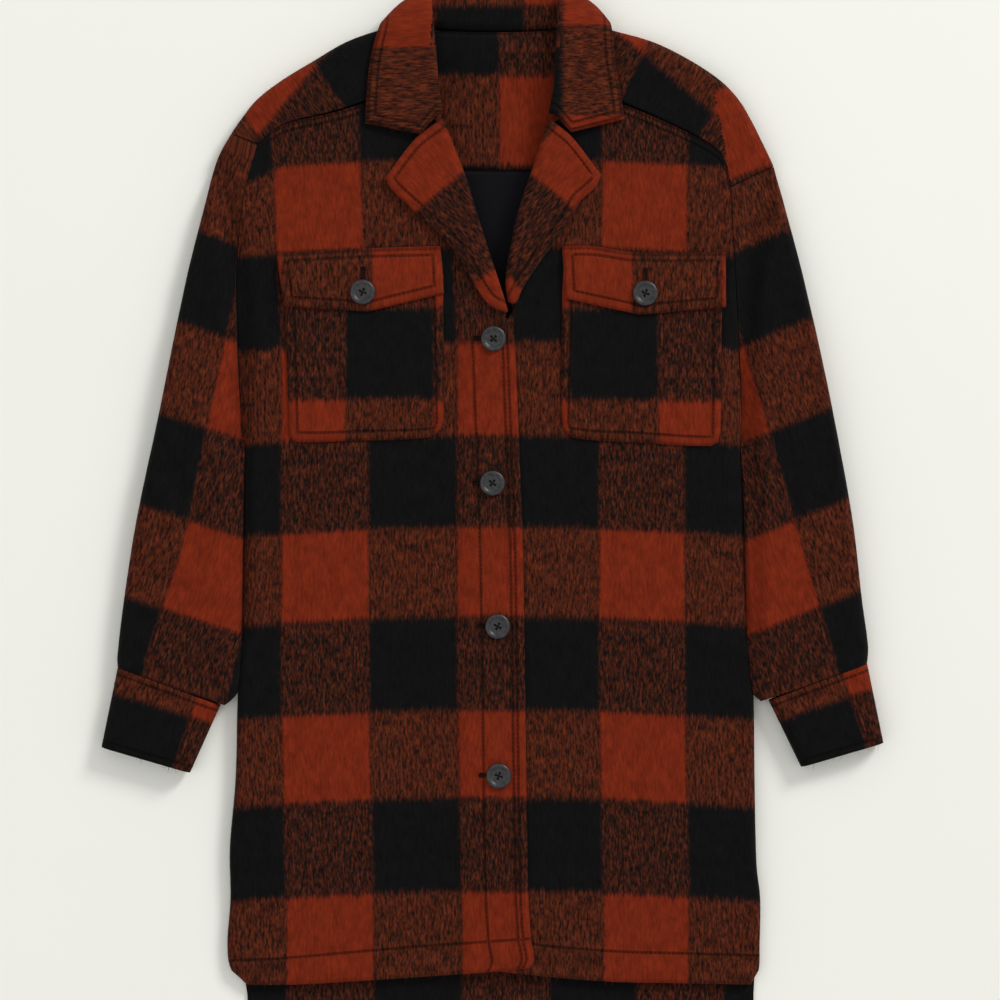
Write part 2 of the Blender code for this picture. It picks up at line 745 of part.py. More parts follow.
def sleeve_rings(side):
    """Rings of points round the flattened sleeve, from the armhole to the cuff seam."""
    seam = armhole_points(side)
    shoulder, underarm = seam[0], seam[-1]
    valley = seam[6:]
    at_seam = seam_shares(seam)
    rings = []
    for length in SLEEVE_RINGS:
        outer = along(SLEEVE_OUTER[side], length)
        inner = along(SLEEVE_INNER[side], length)
        width = (inner - outer).length
        settled = smooth(0.0, 0.40, length)
        across = tube_shares(len(seam), width, follow(SLEEVE_HEIGHT, length) / 2.0)
        top = []
        under = []
        for share_seam, share_tube, at in zip(at_seam, across, seam):
            share = share_seam + (share_tube - share_seam) * settled
            bend = on_line(seam, at_seam, share) - shoulder.lerp(underarm, share)
            place = outer.lerp(inner, share) + bend * (1.0 - length) ** 3.5
            height = follow(HEIGHT, place.y) * (1.0 - settled) + follow(SLEEVE_HEIGHT, length) * settled
            half = height / 2.0
            edge = min((place - outer).length, (place - inner).length)
            sides = bulge(edge, YOKE_RADIUS)
            near = bulge(distance_to(valley, place), VALLEY_RADIUS)
            y = max(place.y, UNDERARM_Y)
            fall = 1.0 - seam_drop(side, y) / (follow(HEIGHT, y) / 2.0) * (1.0 - near)
            lift = 1.0 - seam_rise(y) / (follow(HEIGHT, y) / 2.0) * (1.0 - near)
            over = min(sides, fall) if length > 0.0 else seam_level(side, at, shoulder, True)
            below = min(sides, lift) if length > 0.0 else seam_level(side, at, shoulder, False)
            sunk = crease(place.x, place.y) * settled
            top.append(Vector((place.x, place.y, half + half * over - sunk * over)))
            under.append(Vector((place.x, place.y, half - half * below)))
        rings.append(top + under[-2:0:-1])
    return inset(rings, first_row=2.0 * SEAM, last_row=SEAM / 2.0)


def seam_level(side, place, shoulder, top):
    """How far a point of the armhole seam stands from the middle of the body's height."""
    rounded = bulge((place - shoulder).length, YOKE_RADIUS)
    half = follow(HEIGHT, place.y) / 2.0
    fall = seam_drop(side, place.y) if top else seam_rise(place.y)
    return min(rounded, 1.0 - fall / half)


def cuff_rings(side):
    """Rings of points round a cuff, from the sleeve seam to its edge."""
    outer_seam, inner_seam, inner_edge, outer_edge = [Vector(corner) for corner in CUFFS[side]]
    half = CUFF_HEIGHT / 2.0
    rings = []
    for length in (0.0, 0.5, 1.0):
        outer = outer_seam.lerp(outer_edge, length)
        inner = inner_seam.lerp(inner_edge, length)
        across = tube_shares(13, (inner - outer).length, half)
        places = [outer.lerp(inner, share) for share in across]
        rise = [min(bulge((p - outer).length, half), bulge((p - inner).length, half)) for p in places]
        top = [Vector((p.x, p.y, half + half * up)) for p, up in zip(places, rise)]
        under = [Vector((p.x, p.y, half - half * up)) for p, up in zip(places, rise)]
        rings.append(top + under[-2:0:-1])
    return inset(rings, first_row=SEAM)


def collar_grid():
    """Rows of points across the collar: up its stand, round the fold and down its leaf."""
    rows = []
    table = []
    for at, (seam, fold, edge, facing, bow, sag) in enumerate(COLLAR_ROWS):
        table.append((at, *seam, *fold, *edge, *facing, bow, sag))
    for station in range(COLLAR_STATIONS):
        place = station / (COLLAR_STATIONS - 1) * (len(COLLAR_ROWS) - 1)
        values = [follow(table, place, 1 + item) for item in range(14)]
        seam, fold, edge, facing = [Vector(values[item : item + 3]) for item in (0, 3, 6, 9)]
        bow, sag = values[12:]
        facing.normalize()
        away = (fold - edge).normalized()
        away = (away - facing * away.dot(facing)).normalized()
        low = fold - facing * COLLAR_FOLD
        points = [seam.lerp(low, share) for share in (0.0, 0.5)]
        for step in range(COLLAR_FOLD_STEPS + 1):
            angle = math.pi * step / COLLAR_FOLD_STEPS
            turned = away * math.sin(angle) - facing * math.cos(angle)
            points.append(fold + turned * COLLAR_FOLD)
        high = fold + facing * COLLAR_FOLD
        for share in (COLLAR_NOTCH, 0.5, 0.75, 1.0):
            arch = math.sin(math.pi * share)
            notch = min(share / COLLAR_NOTCH, (1.0 - share) / (1.0 - COLLAR_NOTCH))
            drop = Vector((0.0, -sag * notch, 0.0))
            points.append(high.lerp(edge, share) + facing * bow * arch + drop)
        rows.append(points)
    return rows


def patch(first, last, top, bottom, columns, rows, height):
    """Grid between four outlines, at the height that a function gives at each place."""
    corners = [Vector(bottom[0]), Vector(bottom[-1]), Vector(top[0]), Vector(top[-1])]
    grid = []
    for row in range(rows + 1):
        v = row / rows
        points = []
        for column in range(columns + 1):
            u = column / columns
            sides = along(first, v).lerp(along(last, v), u)
            ends = along(bottom, u).lerp(along(top, u), v)
            flat = corners[0].lerp(corners[1], u).lerp(corners[2].lerp(corners[3], u), v)
            place = sides + ends - flat
            points.append((place.x, place.y, height(place.x, place.y)))
        grid.append(points)
    return grid


def pocket_grid(side):
    """Points of a pocket's inner face, moved out from the front it is sewn to."""
    cut = POCKETS[side]

    def height(x, y):
        return front_height(side, x, y) + SEAM

    return patch(cut["first"], cut["last"], cut["top"], cut["bottom"], 6, 6, height)


def flap_grid(side):
    """Points of a flap's inner face: on the front at its top, on the pocket below."""
    cut = FLAPS[side]
    first = (cut["bottom"][0], cut["top"][0])
    last = (cut["bottom"][-1], cut["top"][-1])
    step = CLOTH + 2.0 * SEAM

    def height(x, y):
        return front_height(side, x, y) + SEAM + step * smooth(234.0, 218.0, y)

    return patch(first, last, cut["top"], cut["bottom"], 8, 5, height)


def facing_grid(side):
    """Rows of points of a lapel's facing, from inside the front round the roll to the edge."""
    rows = []
    for row in range(TOP_ROW + 1):
        if lapel_share(side, row) > FACING_START:
            rows.append(lapel_section(side, row, LAPEL_OUTER, FACING_TAIL))
    return inset(rows, last_row=SEAM)


def inner_height(x, y, gap):
    """Height over the inside of the back."""
    return neck_lift(x, y) + CLOTH + gap


def neck_facing_grid():
    """The facing inside the back neck, which shows between the lapels."""
    first = ((-72.0, 316.5), (-74.0, 380.0), (-70.0, 445.0))
    last = ((76.0, 316.5), (78.0, 380.0), (74.0, 445.0))
    top = ((-70.0, 445.0), (CENTRE_X, 443.0), (74.0, 445.0))
    bottom = ((-72.0, 316.5), (CENTRE_X, 315.5), (76.0, 316.5))
    return patch(first, last, top, bottom, 8, 8, lambda x, y: inner_height(x, y, 3.0 * SEAM))


def lining_grid():
    """The lining where it shows below the neck facing, and a margin round it."""
    first = ((-72.0, 110.0), (-72.0, 315.8))
    last = ((76.0, 110.0), (76.0, 315.8))
    top = ((-72.0, 315.8), (CENTRE_X, 314.8), (76.0, 315.8))
    bottom = ((-72.0, 110.0), (76.0, 110.0))
    return patch(first, last, top, bottom, 5, 5, lambda x, y: inner_height(x, y, 2.0 * SEAM))


def material(name):
    """A Principled material in one of the jacket's colours."""
    red, green, blue, roughness = COLOURS[name]
    made = bpy.data.materials.new(name)
    made.use_nodes = True
    shader = made.node_tree.nodes["Principled BSDF"]
    shader.inputs["Base Color"].default_value = (red, green, blue, 1.0)
    shader.inputs["Roughness"].default_value = roughness
    shader.inputs["Metallic"].default_value = 0.0
    made.diffuse_color = (red, green, blue, 1.0)
    return made


def add_mesh(name, mesh, surface, collection):
    """An object for a mesh, with its material, in the jacket's collection."""
    mesh.materials.append(surface)
    made = bpy.data.objects.new(name, mesh)
    collection.objects.link(made)
    return made


def shell(name, grids, wall, up, surface, collection, ring=False, guide=-1, offset=-1.0, even=True):
    """A wall of even thickness behind the faces of one or more grids of points.

    up says whether the guide face, in the middle row of the first grid, looks up. The wall lies
    behind it.
    """
    shape = bmesh.new()
    mark = shape.faces.layers.int.new("guide")
    guides = []
    for grid in grids:
        verts = [[shape.verts.new(Vector(point) * MM) for point in row] for row in grid]
        for low, high in zip(verts, verts[1:]):
            pairs = list(zip(low, low[1:], high[1:], high))
            if ring:
                pairs.append((low[-1], low[0], high[0], high[-1]))
            faces = [shape.faces.new(corners) for corners in pairs]
            guides.append([face for face in faces if face.calc_area() > 1e-7][guide])
    chosen = guides[(len(grids[0]) - 1) // 2]
    chosen[mark] = 1
    bmesh.ops.remove_doubles(shape, verts=shape.verts, dist=0.00002)
    bmesh.ops.recalc_face_normals(shape, faces=shape.faces)
    marked = next(face for face in shape.faces if face[mark])
    if (marked.normal.z > 0.0) != up:
        bmesh.ops.reverse_faces(shape, faces=shape.faces)
    shape.faces.layers.int.remove(mark)
    mesh = bpy.data.meshes.new(name)
    shape.to_mesh(mesh)
    shape.free()
    mesh.shade_smooth()
    made = add_mesh(name, mesh, surface, collection)
    thick = made.modifiers.new("wall", "SOLIDIFY")
    thick.thickness = wall * MM
    thick.offset = offset
    thick.use_even_offset = even
    return made


def button(name, x, y, z, surface, collection):
    """A turned button with a raised rim, lying on the cloth."""
    mesh = bpy.data.meshes.new(name)
    section = [(share * BUTTON_RADIUS * MM, 0.0, height * MM) for share, height in BUTTON_SECTION]
    mesh.from_pydata(section, [(at, at + 1) for at in range(len(section) - 1)], [])
    made = add_mesh(name, mesh, surface, collection)
    made.location = (x * MM, y * MM, z * MM)
    turned = made.modifiers.new("turn", "SCREW")
    turned.steps = 20
    turned.render_steps = 20
    turned.use_merge_vertices = True
    turned.merge_threshold = 0.00001
    turned.use_normal_calculate = False
    return made


def build():
    """Make every piece of the jacket."""
    for old in list(bpy.data.objects):
        bpy.data.objects.remove(old, do_unlink=True)
    jacket = bpy.data.collections.new("shirt_jacket")
    bpy.context.scene.collection.children.link(jacket)
    wool = material("checked_wool")
    silk = material("lining")
    horn = material("horn_button")
    names = {RIGHT: "right", LEFT: "left"}

    shell("back", [back_grid()], CLOTH, False, wool, jacket, guide=10)
    yoke = [grid for side in (RIGHT, LEFT) for grid in yoke_grids(side)]
    shell("yoke", yoke, CLOTH, True, wool, jacket)
    shell("neck_facing", [neck_facing_grid()], FACING, False, wool, jacket)
    shell("lining", [lining_grid()], LINING, False, silk, jacket)
    shell("collar", [collar_grid()], COLLAR, False, wool, jacket, offset=0.0, even=False)
    for side, word in names.items():
        shell("front_" + word, [front_grid(side)], CLOTH, True, wool, jacket, even=False)
        shell("lapel_facing_" + word, [facing_grid(side)], FACING, False, wool, jacket, even=False)
        shell("sleeve_" + word, [sleeve_rings(side)], CLOTH, True, wool, jacket, ring=True, guide=8)
        shell("cuff_" + word, [cuff_rings(side)], CUFF, True, wool, jacket, ring=True, guide=6)
        shell("pocket_" + word, [pocket_grid(side)], CLOTH, False, wool, jacket)
        shell("flap_" + word, [flap_grid(side)], FLAP, False, wool, jacket)
    for name, x, y in BUTTONS:
        button(name, x, y, front_height(RIGHT, x, y) + SEAM, horn, jacket)
    for side, (name, x, y) in zip((RIGHT, LEFT), FLAP_BUTTONS):
        height = front_height(side, x, y) + CLOTH + FLAP + 4.0 * SEAM
        button(name, x, y, height, horn, jacket)


build()
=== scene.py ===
"""The looks of a checked wool shirt jacket, buttoned and laid flat on its back.

Sizes are millimetres in the tables and metres in the scene. X runs to the wearer's left,
Y from hem to collar, Z up. The panels follow the tables that the solids are made from.
This file stands alone, so it repeats those tables and the geometry that the solids share with it.
"""

import functools
import math

import bmesh
import bpy
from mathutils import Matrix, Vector, noise


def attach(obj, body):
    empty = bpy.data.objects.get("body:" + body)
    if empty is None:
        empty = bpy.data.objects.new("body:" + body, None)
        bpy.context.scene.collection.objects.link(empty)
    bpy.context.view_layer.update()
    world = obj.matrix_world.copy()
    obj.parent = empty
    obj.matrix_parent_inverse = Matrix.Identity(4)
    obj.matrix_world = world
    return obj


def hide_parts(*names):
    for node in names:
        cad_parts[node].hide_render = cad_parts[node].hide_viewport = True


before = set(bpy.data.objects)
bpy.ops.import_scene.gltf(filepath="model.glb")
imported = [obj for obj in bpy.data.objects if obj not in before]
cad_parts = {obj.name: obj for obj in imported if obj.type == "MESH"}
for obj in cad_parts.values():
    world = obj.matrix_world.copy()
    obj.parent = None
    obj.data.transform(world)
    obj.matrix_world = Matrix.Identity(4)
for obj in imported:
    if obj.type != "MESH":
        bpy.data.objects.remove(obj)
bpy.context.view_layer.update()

MM = 0.001
RIGHT = -1
LEFT = 1

# Thickness of each kind of wall, and the gap kept at seams and between layers.
CLOTH = 2.5
FACING = 2.0
LINING = 1.0
COLLAR = 4.5
CUFF = 4.0
FLAP = 3.0
SEAM = 0.3
SIDE_GAP = 0.9
OVERLAP_LIFT = CLOTH + 3.0 * SEAM

# The lapel's fold: radii of its two layers, the length over which it turns, the facing's hidden tail.
LAPEL_INNER = 0.6
LAPEL_OUTER = LAPEL_INNER + CLOTH + 3.0 * SEAM
ROLL_RADIUS = LAPEL_OUTER + FACING
TURN_LENGTH = 9.0
TURN_STEPS = 9
LAPEL_STEPS = 24
FACING_TAIL = 14.0
FACING_START = 0.05

# Radius of the yoke's shoulder fold, and how far the back lies over the collar's leaf.
YOKE_RADIUS = 10.0
VALLEY_RADIUS = 16.0
LEAF_LIFT = 5.2

# The middle of the back, the ends of the armhole and the place where the lapels start.
CENTRE_X = 2.0
UNDERARM_Y = 57.0
BREAK_Y = {RIGHT: 168.0, LEFT: 177.0}
ROLL_TOP_Y = 363.0
UNDERARM_ROW = 10
TOP_ROW = 20

# Height of the laid body over the floor. Columns: y, height.
HEIGHT = (
    (-498.0, 9.0),
    (-462.0, 10.0),
    (-400.0, 12.5),
    (-300.0, 16.0),
    (-100.0, 19.0),
    (57.0, 20.0),
    (470.0, 20.0),
)

# Rows of the fronts and back. Columns: row, side y, share of the armhole, y at the front edge.
ROWS = (
    (0, -462.0, 0.0, -446.0),
    (1, -449.0, 0.0, -438.0),
    (2, -425.0, 0.0, -420.0),
    (3, -380.0, 0.0, -378.0),
    (4, -320.0, 0.0, -320.0),
    (5, -255.0, 0.0, -255.0),
    (6, -190.0, 0.0, -190.0),
    (7, -125.0, 0.0, -125.0),
    (8, -60.0, 0.0, -60.0),
    (9, 0.0, 0.0, 0.0),
    (10, 57.0, 0.0, 57.0),
    (11, 57.0, 0.17, 100.0),
    (12, 57.0, 0.34, 140.0),
    (13, 57.0, 0.47, 168.0),
    (14, 57.0, 0.51, 177.0),
    (15, 57.0, 0.56, 189.0),
    (16, 57.0, 0.63, 210.0),
    (17, 57.0, 0.71, 243.0),
    (18, 57.0, 0.81, 283.0),
    (19, 57.0, 0.91, 323.0),
    (20, 57.0, 1.0, 363.0),
)

NECK_COLUMN = 0.84

NECKLINE_STEPS = 24
NECKLINE_SHARE = 0.38

# Side edge of the body with the armhole above the underarm. Columns: y, x.
SIDE = {
    RIGHT: (
        (-498.0, -234.0),
        (-462.0, -236.0),
        (-449.0, -250.0),
        (-425.0, -254.0),
        (-380.0, -251.0),
        (-332.0, -251.5),
        (-266.0, -246.0),
        (-190.0, -244.0),
        (-95.0, -240.0),
        (0.0, -239.0),
        (57.0, -239.5),
        (120.0, -243.0),
        (200.0, -245.0),
        (247.0, -243.0),
        (295.0, -236.0),
        (338.0, -224.0),
    ),
    LEFT: (
        (-498.0, 249.0),
        (-462.0, 246.0),
        (-449.0, 253.0),
        (-425.0, 254.0),
        (-380.0, 254.5),
        (-348.0, 251.0),
        (-266.0, 249.0),
        (-190.0, 248.0),
        (-95.0, 243.5),
        (0.0, 240.0),
        (57.0, 238.0),
        (120.0, 235.0),
        (190.0, 231.5),
        (242.0, 228.0),
        (298.0, 225.0),
    ),
}

# Front edge, then the roll line of the lapel above the break. Columns: y, x.
EDGE = {
    RIGHT: (
        (-446.0, 35.0),
        (-438.0, 39.0),
        (-420.0, 36.0),
        (-368.0, 33.0),
        (-48.0, 28.0),
        (61.0, 24.0),
        (112.0, 22.0),
        (154.0, 20.0),
        (168.0, 17.0),
        (202.0, 7.0),
        (238.0, -5.0),
        (283.0, -19.0),
        (309.0, -27.0),
        (345.0, -41.0),
        (363.0, -49.0),
    ),
    LEFT: (
        (-446.0, -22.0),
        (-100.0, -23.0),
        (100.0, -24.0),
        (132.0, -23.0),
        (168.0, 8.0),
        (177.0, 16.5),
        (189.0, 13.5),
        (210.0, 11.5),
        (240.0, 16.0),
        (276.0, 24.0),
        (315.0, 37.0),
        (345.0, 47.0),
        (363.0, 53.0),
    ),
}

# Where the back's side edges run below the slits. Columns: y, x. Then outlines on the plan.
# Columns: x, y.
BACK_CORNER = {RIGHT: (-498.0, -234.0), LEFT: (-498.0, 249.0)}
BACK_SLIT = {RIGHT: (-450.0, -238.0), LEFT: (-450.0, 249.0)}
HEM = {
    RIGHT: ((-236.0, -462.0), (-191.0, -462.0), (-104.0, -457.0), (-33.0, -452.0), (35.0, -446.0)),
    LEFT: ((246.0, -460.0), (184.0, -458.0), (118.0, -456.0), (57.0, -451.0), (-22.0, -441.0)),
}
YOKE_SEAM = {
    RIGHT: ((-224.0, 338.0), (-211.0, 350.0), (-195.0, 359.0), (-144.0, 372.0), (-75.0, 397.0)),
    LEFT: ((225.0, 298.0), (221.0, 318.0), (212.0, 334.0), (173.0, 356.0), (123.0, 378.0), (87.0, 391.0)),
}
FRONT_NECK = {
    RIGHT: ((-75.0, 397.0), (-63.0, 378.0), (-49.0, 363.0)),
    LEFT: ((87.0, 391.0), (70.0, 375.0), (53.0, 363.0)),
}
SHOULDER = {
    RIGHT: (
        (-250.0, 349.0),
        (-241.0, 362.0),
        (-226.0, 381.0),
        (-203.0, 399.0),
        (-172.0, 418.0),
        (-141.0, 436.0),
        (-110.0, 447.0),
        (-80.0, 455.0),
    ),
    LEFT: (
        (267.0, 318.0),
        (255.0, 343.0),
        (246.0, 361.0),
        (234.0, 381.0),
        (217.0, 399.0),
        (189.0, 418.0),
        (153.0, 436.0),
        (114.0, 447.0),
        (84.0, 455.0),
    ),
}
BACK_NECK = {
    RIGHT: ((-80.0, 455.0), (-62.0, 449.0), (-30.0, 446.5), (CENTRE_X, 446.0)),
    LEFT: ((84.0, 455.0), (66.0, 449.0), (34.0, 446.5), (CENTRE_X, 446.0)),
}
BACK_SEAM = {
    RIGHT: ((-224.0, 338.0), (-120.0, 326.0), (CENTRE_X, 318.0)),
    LEFT: ((225.0, 298.0), (120.0, 311.0), (CENTRE_X, 318.0)),
}
LAPEL_EDGE = {
    RIGHT: (
        (17.0, 168.0),
        (9.0, 178.0),
        (-8.0, 191.0),
        (-36.0, 238.0),
        (-73.0, 273.0),
        (-97.0, 296.0),
        (-102.0, 306.0),
    ),
    LEFT: (
        (16.5, 177.0),
        (21.0, 189.0),
        (26.0, 201.0),
        (44.0, 228.0),
        (71.0, 265.0),
        (80.0, 282.0),
        (97.0, 298.0),
        (101.0, 309.0),
    ),
}
LAPEL_TOP = {
    RIGHT: ((-49.0, 362.0), (-72.0, 344.0), (-102.0, 306.0)),
    LEFT: ((53.0, 362.0), (71.0, 347.0), (101.0, 309.0)),
}
SLEEVE_OUTER = {
    RIGHT: (
        (-250.0, 349.0),
        (-264.0, 323.0),
        (-274.0, 285.0),
        (-293.0, 209.0),
        (-316.0, 95.0),
        (-340.0, -19.0),
        (-352.0, -95.0),
        (-358.5, -150.0),
        (-358.0, -159.0),
    ),
    LEFT: (
        (267.0, 318.0),
        (276.0, 285.0),
        (296.0, 209.0),
        (321.0, 95.0),
        (342.0, -19.0),
        (351.0, -95.0),
        (357.0, -140.0),
        (356.0, -155.5),
    ),
}
SLEEVE_INNER = {
    RIGHT: (
        (-239.5, 57.0),
        (-242.5, 0.0),
        (-244.0, -57.0),
        (-248.0, -133.0),
        (-254.0, -178.0),
        (-260.0, -195.0),
    ),
    LEFT: (
        (238.0, 57.0),
        (242.5, 0.0),
        (245.0, -60.0),
        (249.0, -130.0),
        (257.0, -180.0),
        (262.0, -190.5),
    ),
}
# Corners of the cuffs. Columns: x, y at outer seam, inner seam, inner edge and outer edge.
CUFFS = {
    RIGHT: ((-358.0, -159.0), (-260.0, -195.0), (-289.0, -259.5), (-373.5, -235.0)),
    LEFT: ((356.0, -155.5), (262.0, -190.5), (293.0, -254.0), (371.5, -231.0)),
}

# Shares of the way down the sleeve at which it has a ring.
SLEEVE_RINGS = [ring / 130 for ring in range(131)]
# Height of the sleeve along its length. Columns: share of the length, height.
SLEEVE_HEIGHT = ((0.0, 20.0), (0.15, 21.0), (0.35, 24.0), (0.6, 24.0), (0.85, 22.0), (1.0, 20.0))
CUFF_HEIGHT = 20.0

# The collar from the right front end round the neck to the left one. Each row gives its seam to
# the neck, the middle of its fold and its outer edge, then where its outer side faces and how far
# its leaf bows out and sags towards the hem.
# Columns: seam x y z, fold x y z, edge x y z, facing x y z, bow, sag.
COLLAR_ROWS = (
    ((-60.0, 370.0, 19.0), (-53.0, 366.5, 24.0), (-121.0, 358.0, 22.8), (0.0, 0.0, 1.0), 0.0, 17.0),
    ((-70.5, 394.0, 19.0), (-57.0, 394.0, 24.2), (-119.5, 386.0, 22.8), (0.0, 0.0, 1.0), 0.0, 3.0),
    ((-74.5, 425.0, 18.5), (-60.0, 430.0, 24.2), (-116.0, 418.0, 22.8), (0.0, 0.0, 1.0), 0.0, 0.0),
    ((-77.5, 447.0, 16.5), (-63.0, 461.0, 22.0), (-108.5, 445.0, 22.3), (-0.4, 0.45, 0.8), 2.0, 0.0),
    ((-77.0, 459.5, 12.6), (-63.0, 480.0, 14.5), (-101.5, 456.5, 12.6), (-0.65, 0.76, 0.0), 4.0, 0.0),
    ((-68.0, 455.5, 9.0), (-55.0, 487.0, 8.6), (-88.0, 455.0, 5.0), (-0.35, 0.35, -0.87), 2.0, 0.0),
    ((-52.0, 450.5, 7.5), (-41.0, 490.5, 5.8), (-62.0, 443.0, 2.5), (0.0, 0.0, -1.0), 0.0, 0.0),
    ((-26.0, 449.0, 6.8), (-20.0, 492.0, 5.5), (-30.0, 438.0, 2.5), (0.0, 0.0, -1.0), 0.0, 0.0),
    ((2.0, 448.5, 6.8), (2.0, 492.5, 5.5), (2.0, 437.0, 2.5), (0.0, 0.0, -1.0), 0.0, 0.0),
    ((30.0, 449.0, 6.8), (24.0, 492.0, 5.5), (34.0, 438.0, 2.5), (0.0, 0.0, -1.0), 0.0, 0.0),
    ((56.0, 450.5, 7.5), (45.0, 490.5, 5.8), (66.0, 443.0, 2.5), (0.0, 0.0, -1.0), 0.0, 0.0),
    ((72.0, 455.5, 9.0), (59.0, 487.0, 8.6), (92.0, 455.0, 5.0), (0.35, 0.35, -0.87), 2.0, 0.0),
    ((81.0, 459.5, 12.6), (66.0, 480.0, 14.5), (107.0, 456.0, 13.5), (0.65, 0.76, 0.0), 5.0, 0.0),
    ((81.5, 447.0, 16.5), (65.5, 460.0, 22.0), (112.0, 441.0, 22.6), (0.4, 0.45, 0.8), 2.0, 0.0),
    ((80.0, 425.0, 18.5), (64.5, 428.0, 24.2), (115.0, 413.0, 22.8), (0.0, 0.0, 1.0), 0.0, 0.0),
    ((79.0, 396.0, 19.0), (62.5, 394.0, 24.2), (120.0, 386.0, 22.8), (0.0, 0.0, 1.0), 0.0, 3.0),
    ((64.0, 372.0, 19.0), (57.5, 366.5, 24.0), (123.5, 362.0, 22.8), (0.0, 0.0, 1.0), 0.0, 16.0),
)
COLLAR_FOLD = 3.2
COLLAR_FOLD_STEPS = 9
COLLAR_STATIONS = 161

# Share of the leaf's width where its lower edge meets the lapel.
COLLAR_NOTCH = 0.25

# The chest pockets and flaps, as their left, right, top and bottom outlines. Columns: x, y.
POCKETS = {
    RIGHT: {
        "top": ((-195.0, 214.0), (-48.5, 214.0)),
        "bottom": ((-192.5, 61.0), (-186.0, 56.0), (-120.0, 57.5), (-60.0, 60.5), (-52.0, 68.0)),
        "first": ((-192.5, 61.0), (-193.0, 75.0), (-197.0, 179.0), (-195.0, 214.0)),
        "last": ((-52.0, 68.0), (-48.5, 78.0), (-48.5, 214.0)),
    },
    LEFT: {
        "top": ((67.0, 216.0), (217.0, 210.0)),
        "bottom": ((68.0, 68.5), (76.0, 60.0), (140.0, 55.5), (206.0, 52.0), (212.0, 56.5)),
        "first": ((68.0, 68.5), (65.5, 80.0), (66.0, 190.0), (67.0, 216.0)),
        "last": ((212.0, 56.5), (214.5, 66.0), (216.5, 184.0), (217.0, 210.0)),
    },
}
FLAPS = {
    RIGHT: {
        "top": ((-205.0, 233.0), (-117.0, 238.0), (-51.0, 240.0)),
        "bottom": ((-198.0, 185.0), (-122.0, 180.0), (-118.0, 180.0), (-48.0, 197.0)),
    },
    LEFT: {
        "top": ((66.0, 240.0), (95.0, 240.0), (133.0, 234.0), (220.0, 234.0)),
        "bottom": ((69.0, 192.0), (138.0, 177.0), (142.0, 177.0), (220.0, 184.0)),
    },
}

# Buttons down the front and on the flaps. Columns: name, x, y.
BUTTONS = (
    ("button_front_1", 0.0, 153.0),
    ("button_front_2", -1.0, 16.0),
    ("button_front_3", 4.0, -120.0),
    ("button_front_4", 5.0, -262.0),
)
FLAP_BUTTONS = (("button_flap_right", -124.0, 197.0), ("button_flap_left", 144.0, 196.0))
BUTTON_RADIUS = 12.0

# Soft troughs in the laid sleeves. Columns: start x y, end x y, half width, depth.
CREASES = (
    (-262.0, 262.0, -318.0, -20.0, 26.0, 1.6),
    (-268.0, 60.0, -300.0, -120.0, 20.0, 1.8),
    (262.0, 250.0, 318.0, 0.0, 26.0, 1.6),
    (270.0, 70.0, 302.0, -110.0, 20.0, 1.8),
)


def spread(*stops):
    """Shares from the first stop to the last, in even steps between the stops."""
    shares = [stops[0]]
    for count, stop in zip(stops[1::2], stops[2::2]):
        first = shares[-1]
        shares += [first + (stop - first) * step / count for step in range(1, count + 1)]
    return shares


COLUMNS = spread(0.0, 9, 0.045, 62, 0.84, 14, 1.0)


def fine_rows():
    """Rows of the fronts at even distances, with every named row among them."""
    rows = [0.0]
    for low, high in zip(ROWS, ROWS[1:]):
        count = max(1, round(max(abs(high[3] - low[3]), 3.0) / 3.6))
        rows += [low[0] + (step + 1) / count for step in range(count)]
    return rows


FINE_ROWS = fine_rows()


def smooth(low, high, value):
    """0 below low, 1 above high, and an even curve between them."""
    share = min(max((value - low) / (high - low), 0.0), 1.0)
    return share * share * (3.0 - 2.0 * share)


def follow(rows, key, column=1):
    """The value of a table's column where its first column is key, on a smooth curve."""
    keys = [row[0] for row in rows]
    if key <= keys[0]:
        return rows[0][column]
    if key >= keys[-1]:
        return rows[-1][column]
    first = max(place for place, start in enumerate(keys) if start <= key)
    slopes = []
    for place in (first, first + 1):
        before = rows[max(place - 1, 0)]
        after = rows[min(place + 1, len(rows) - 1)]
        slopes.append((after[column] - before[column]) / (after[0] - before[0]))
    span = keys[first + 1] - keys[first]
    share = (key - keys[first]) / span
    start, end = rows[first][column], rows[first + 1][column]
    cubic = 2.0 * share**3 - 3.0 * share**2
    return (
        (cubic + 1.0) * start
        - cubic * end
        + (share**3 - 2.0 * share**2 + share) * span * slopes[0]
        + (share**3 - share**2) * span * slopes[1]
    )


def along(points, share):
    """The point at a share of the length of the smooth curve through points."""
    lengths = [0.0]
    for start, end in zip(points, points[1:]):
        lengths.append(lengths[-1] + math.dist(start, end))
    place = share * lengths[-1]
    rows = [(at, *point) for at, point in zip(lengths, points)]
    return Vector([follow(rows, place, 1 + axis) for axis in range(len(points[0]))])


def bulge(distance, radius):
    """How far a rounded edge has risen, from 0 at the edge to 1 a radius from it."""
    share = min(distance / radius, 1.0)
    return math.sqrt(max(1.0 - (1.0 - share) ** 2, 0.0))


def crease(x, y):
    """Depth of the soft troughs at a place on the cloth."""
    depth = 0.0
    for x1, y1, x2, y2, half_width, deepest in CREASES:
        run = Vector((x2 - x1, y2 - y1))
        place = (Vector((x, y)) - Vector((x1, y1))).dot(run) / run.length_squared
        nearest = Vector((x1, y1)) + run * min(max(place, 0.0), 1.0)
        away = (Vector((x, y)) - nearest).length / half_width
        if away < 1.0:
            depth += deepest * (1.0 - away**2) ** 2 * math.sin(math.pi * min(max(place, 0.05), 0.95))
    return depth


def neck_lift(x, y):
    """How far the back is held off the floor by the collar's leaf under it."""
    return LEAF_LIFT * smooth(385.0, 430.0, y) * (1.0 - smooth(108.0, 155.0, abs(x)))


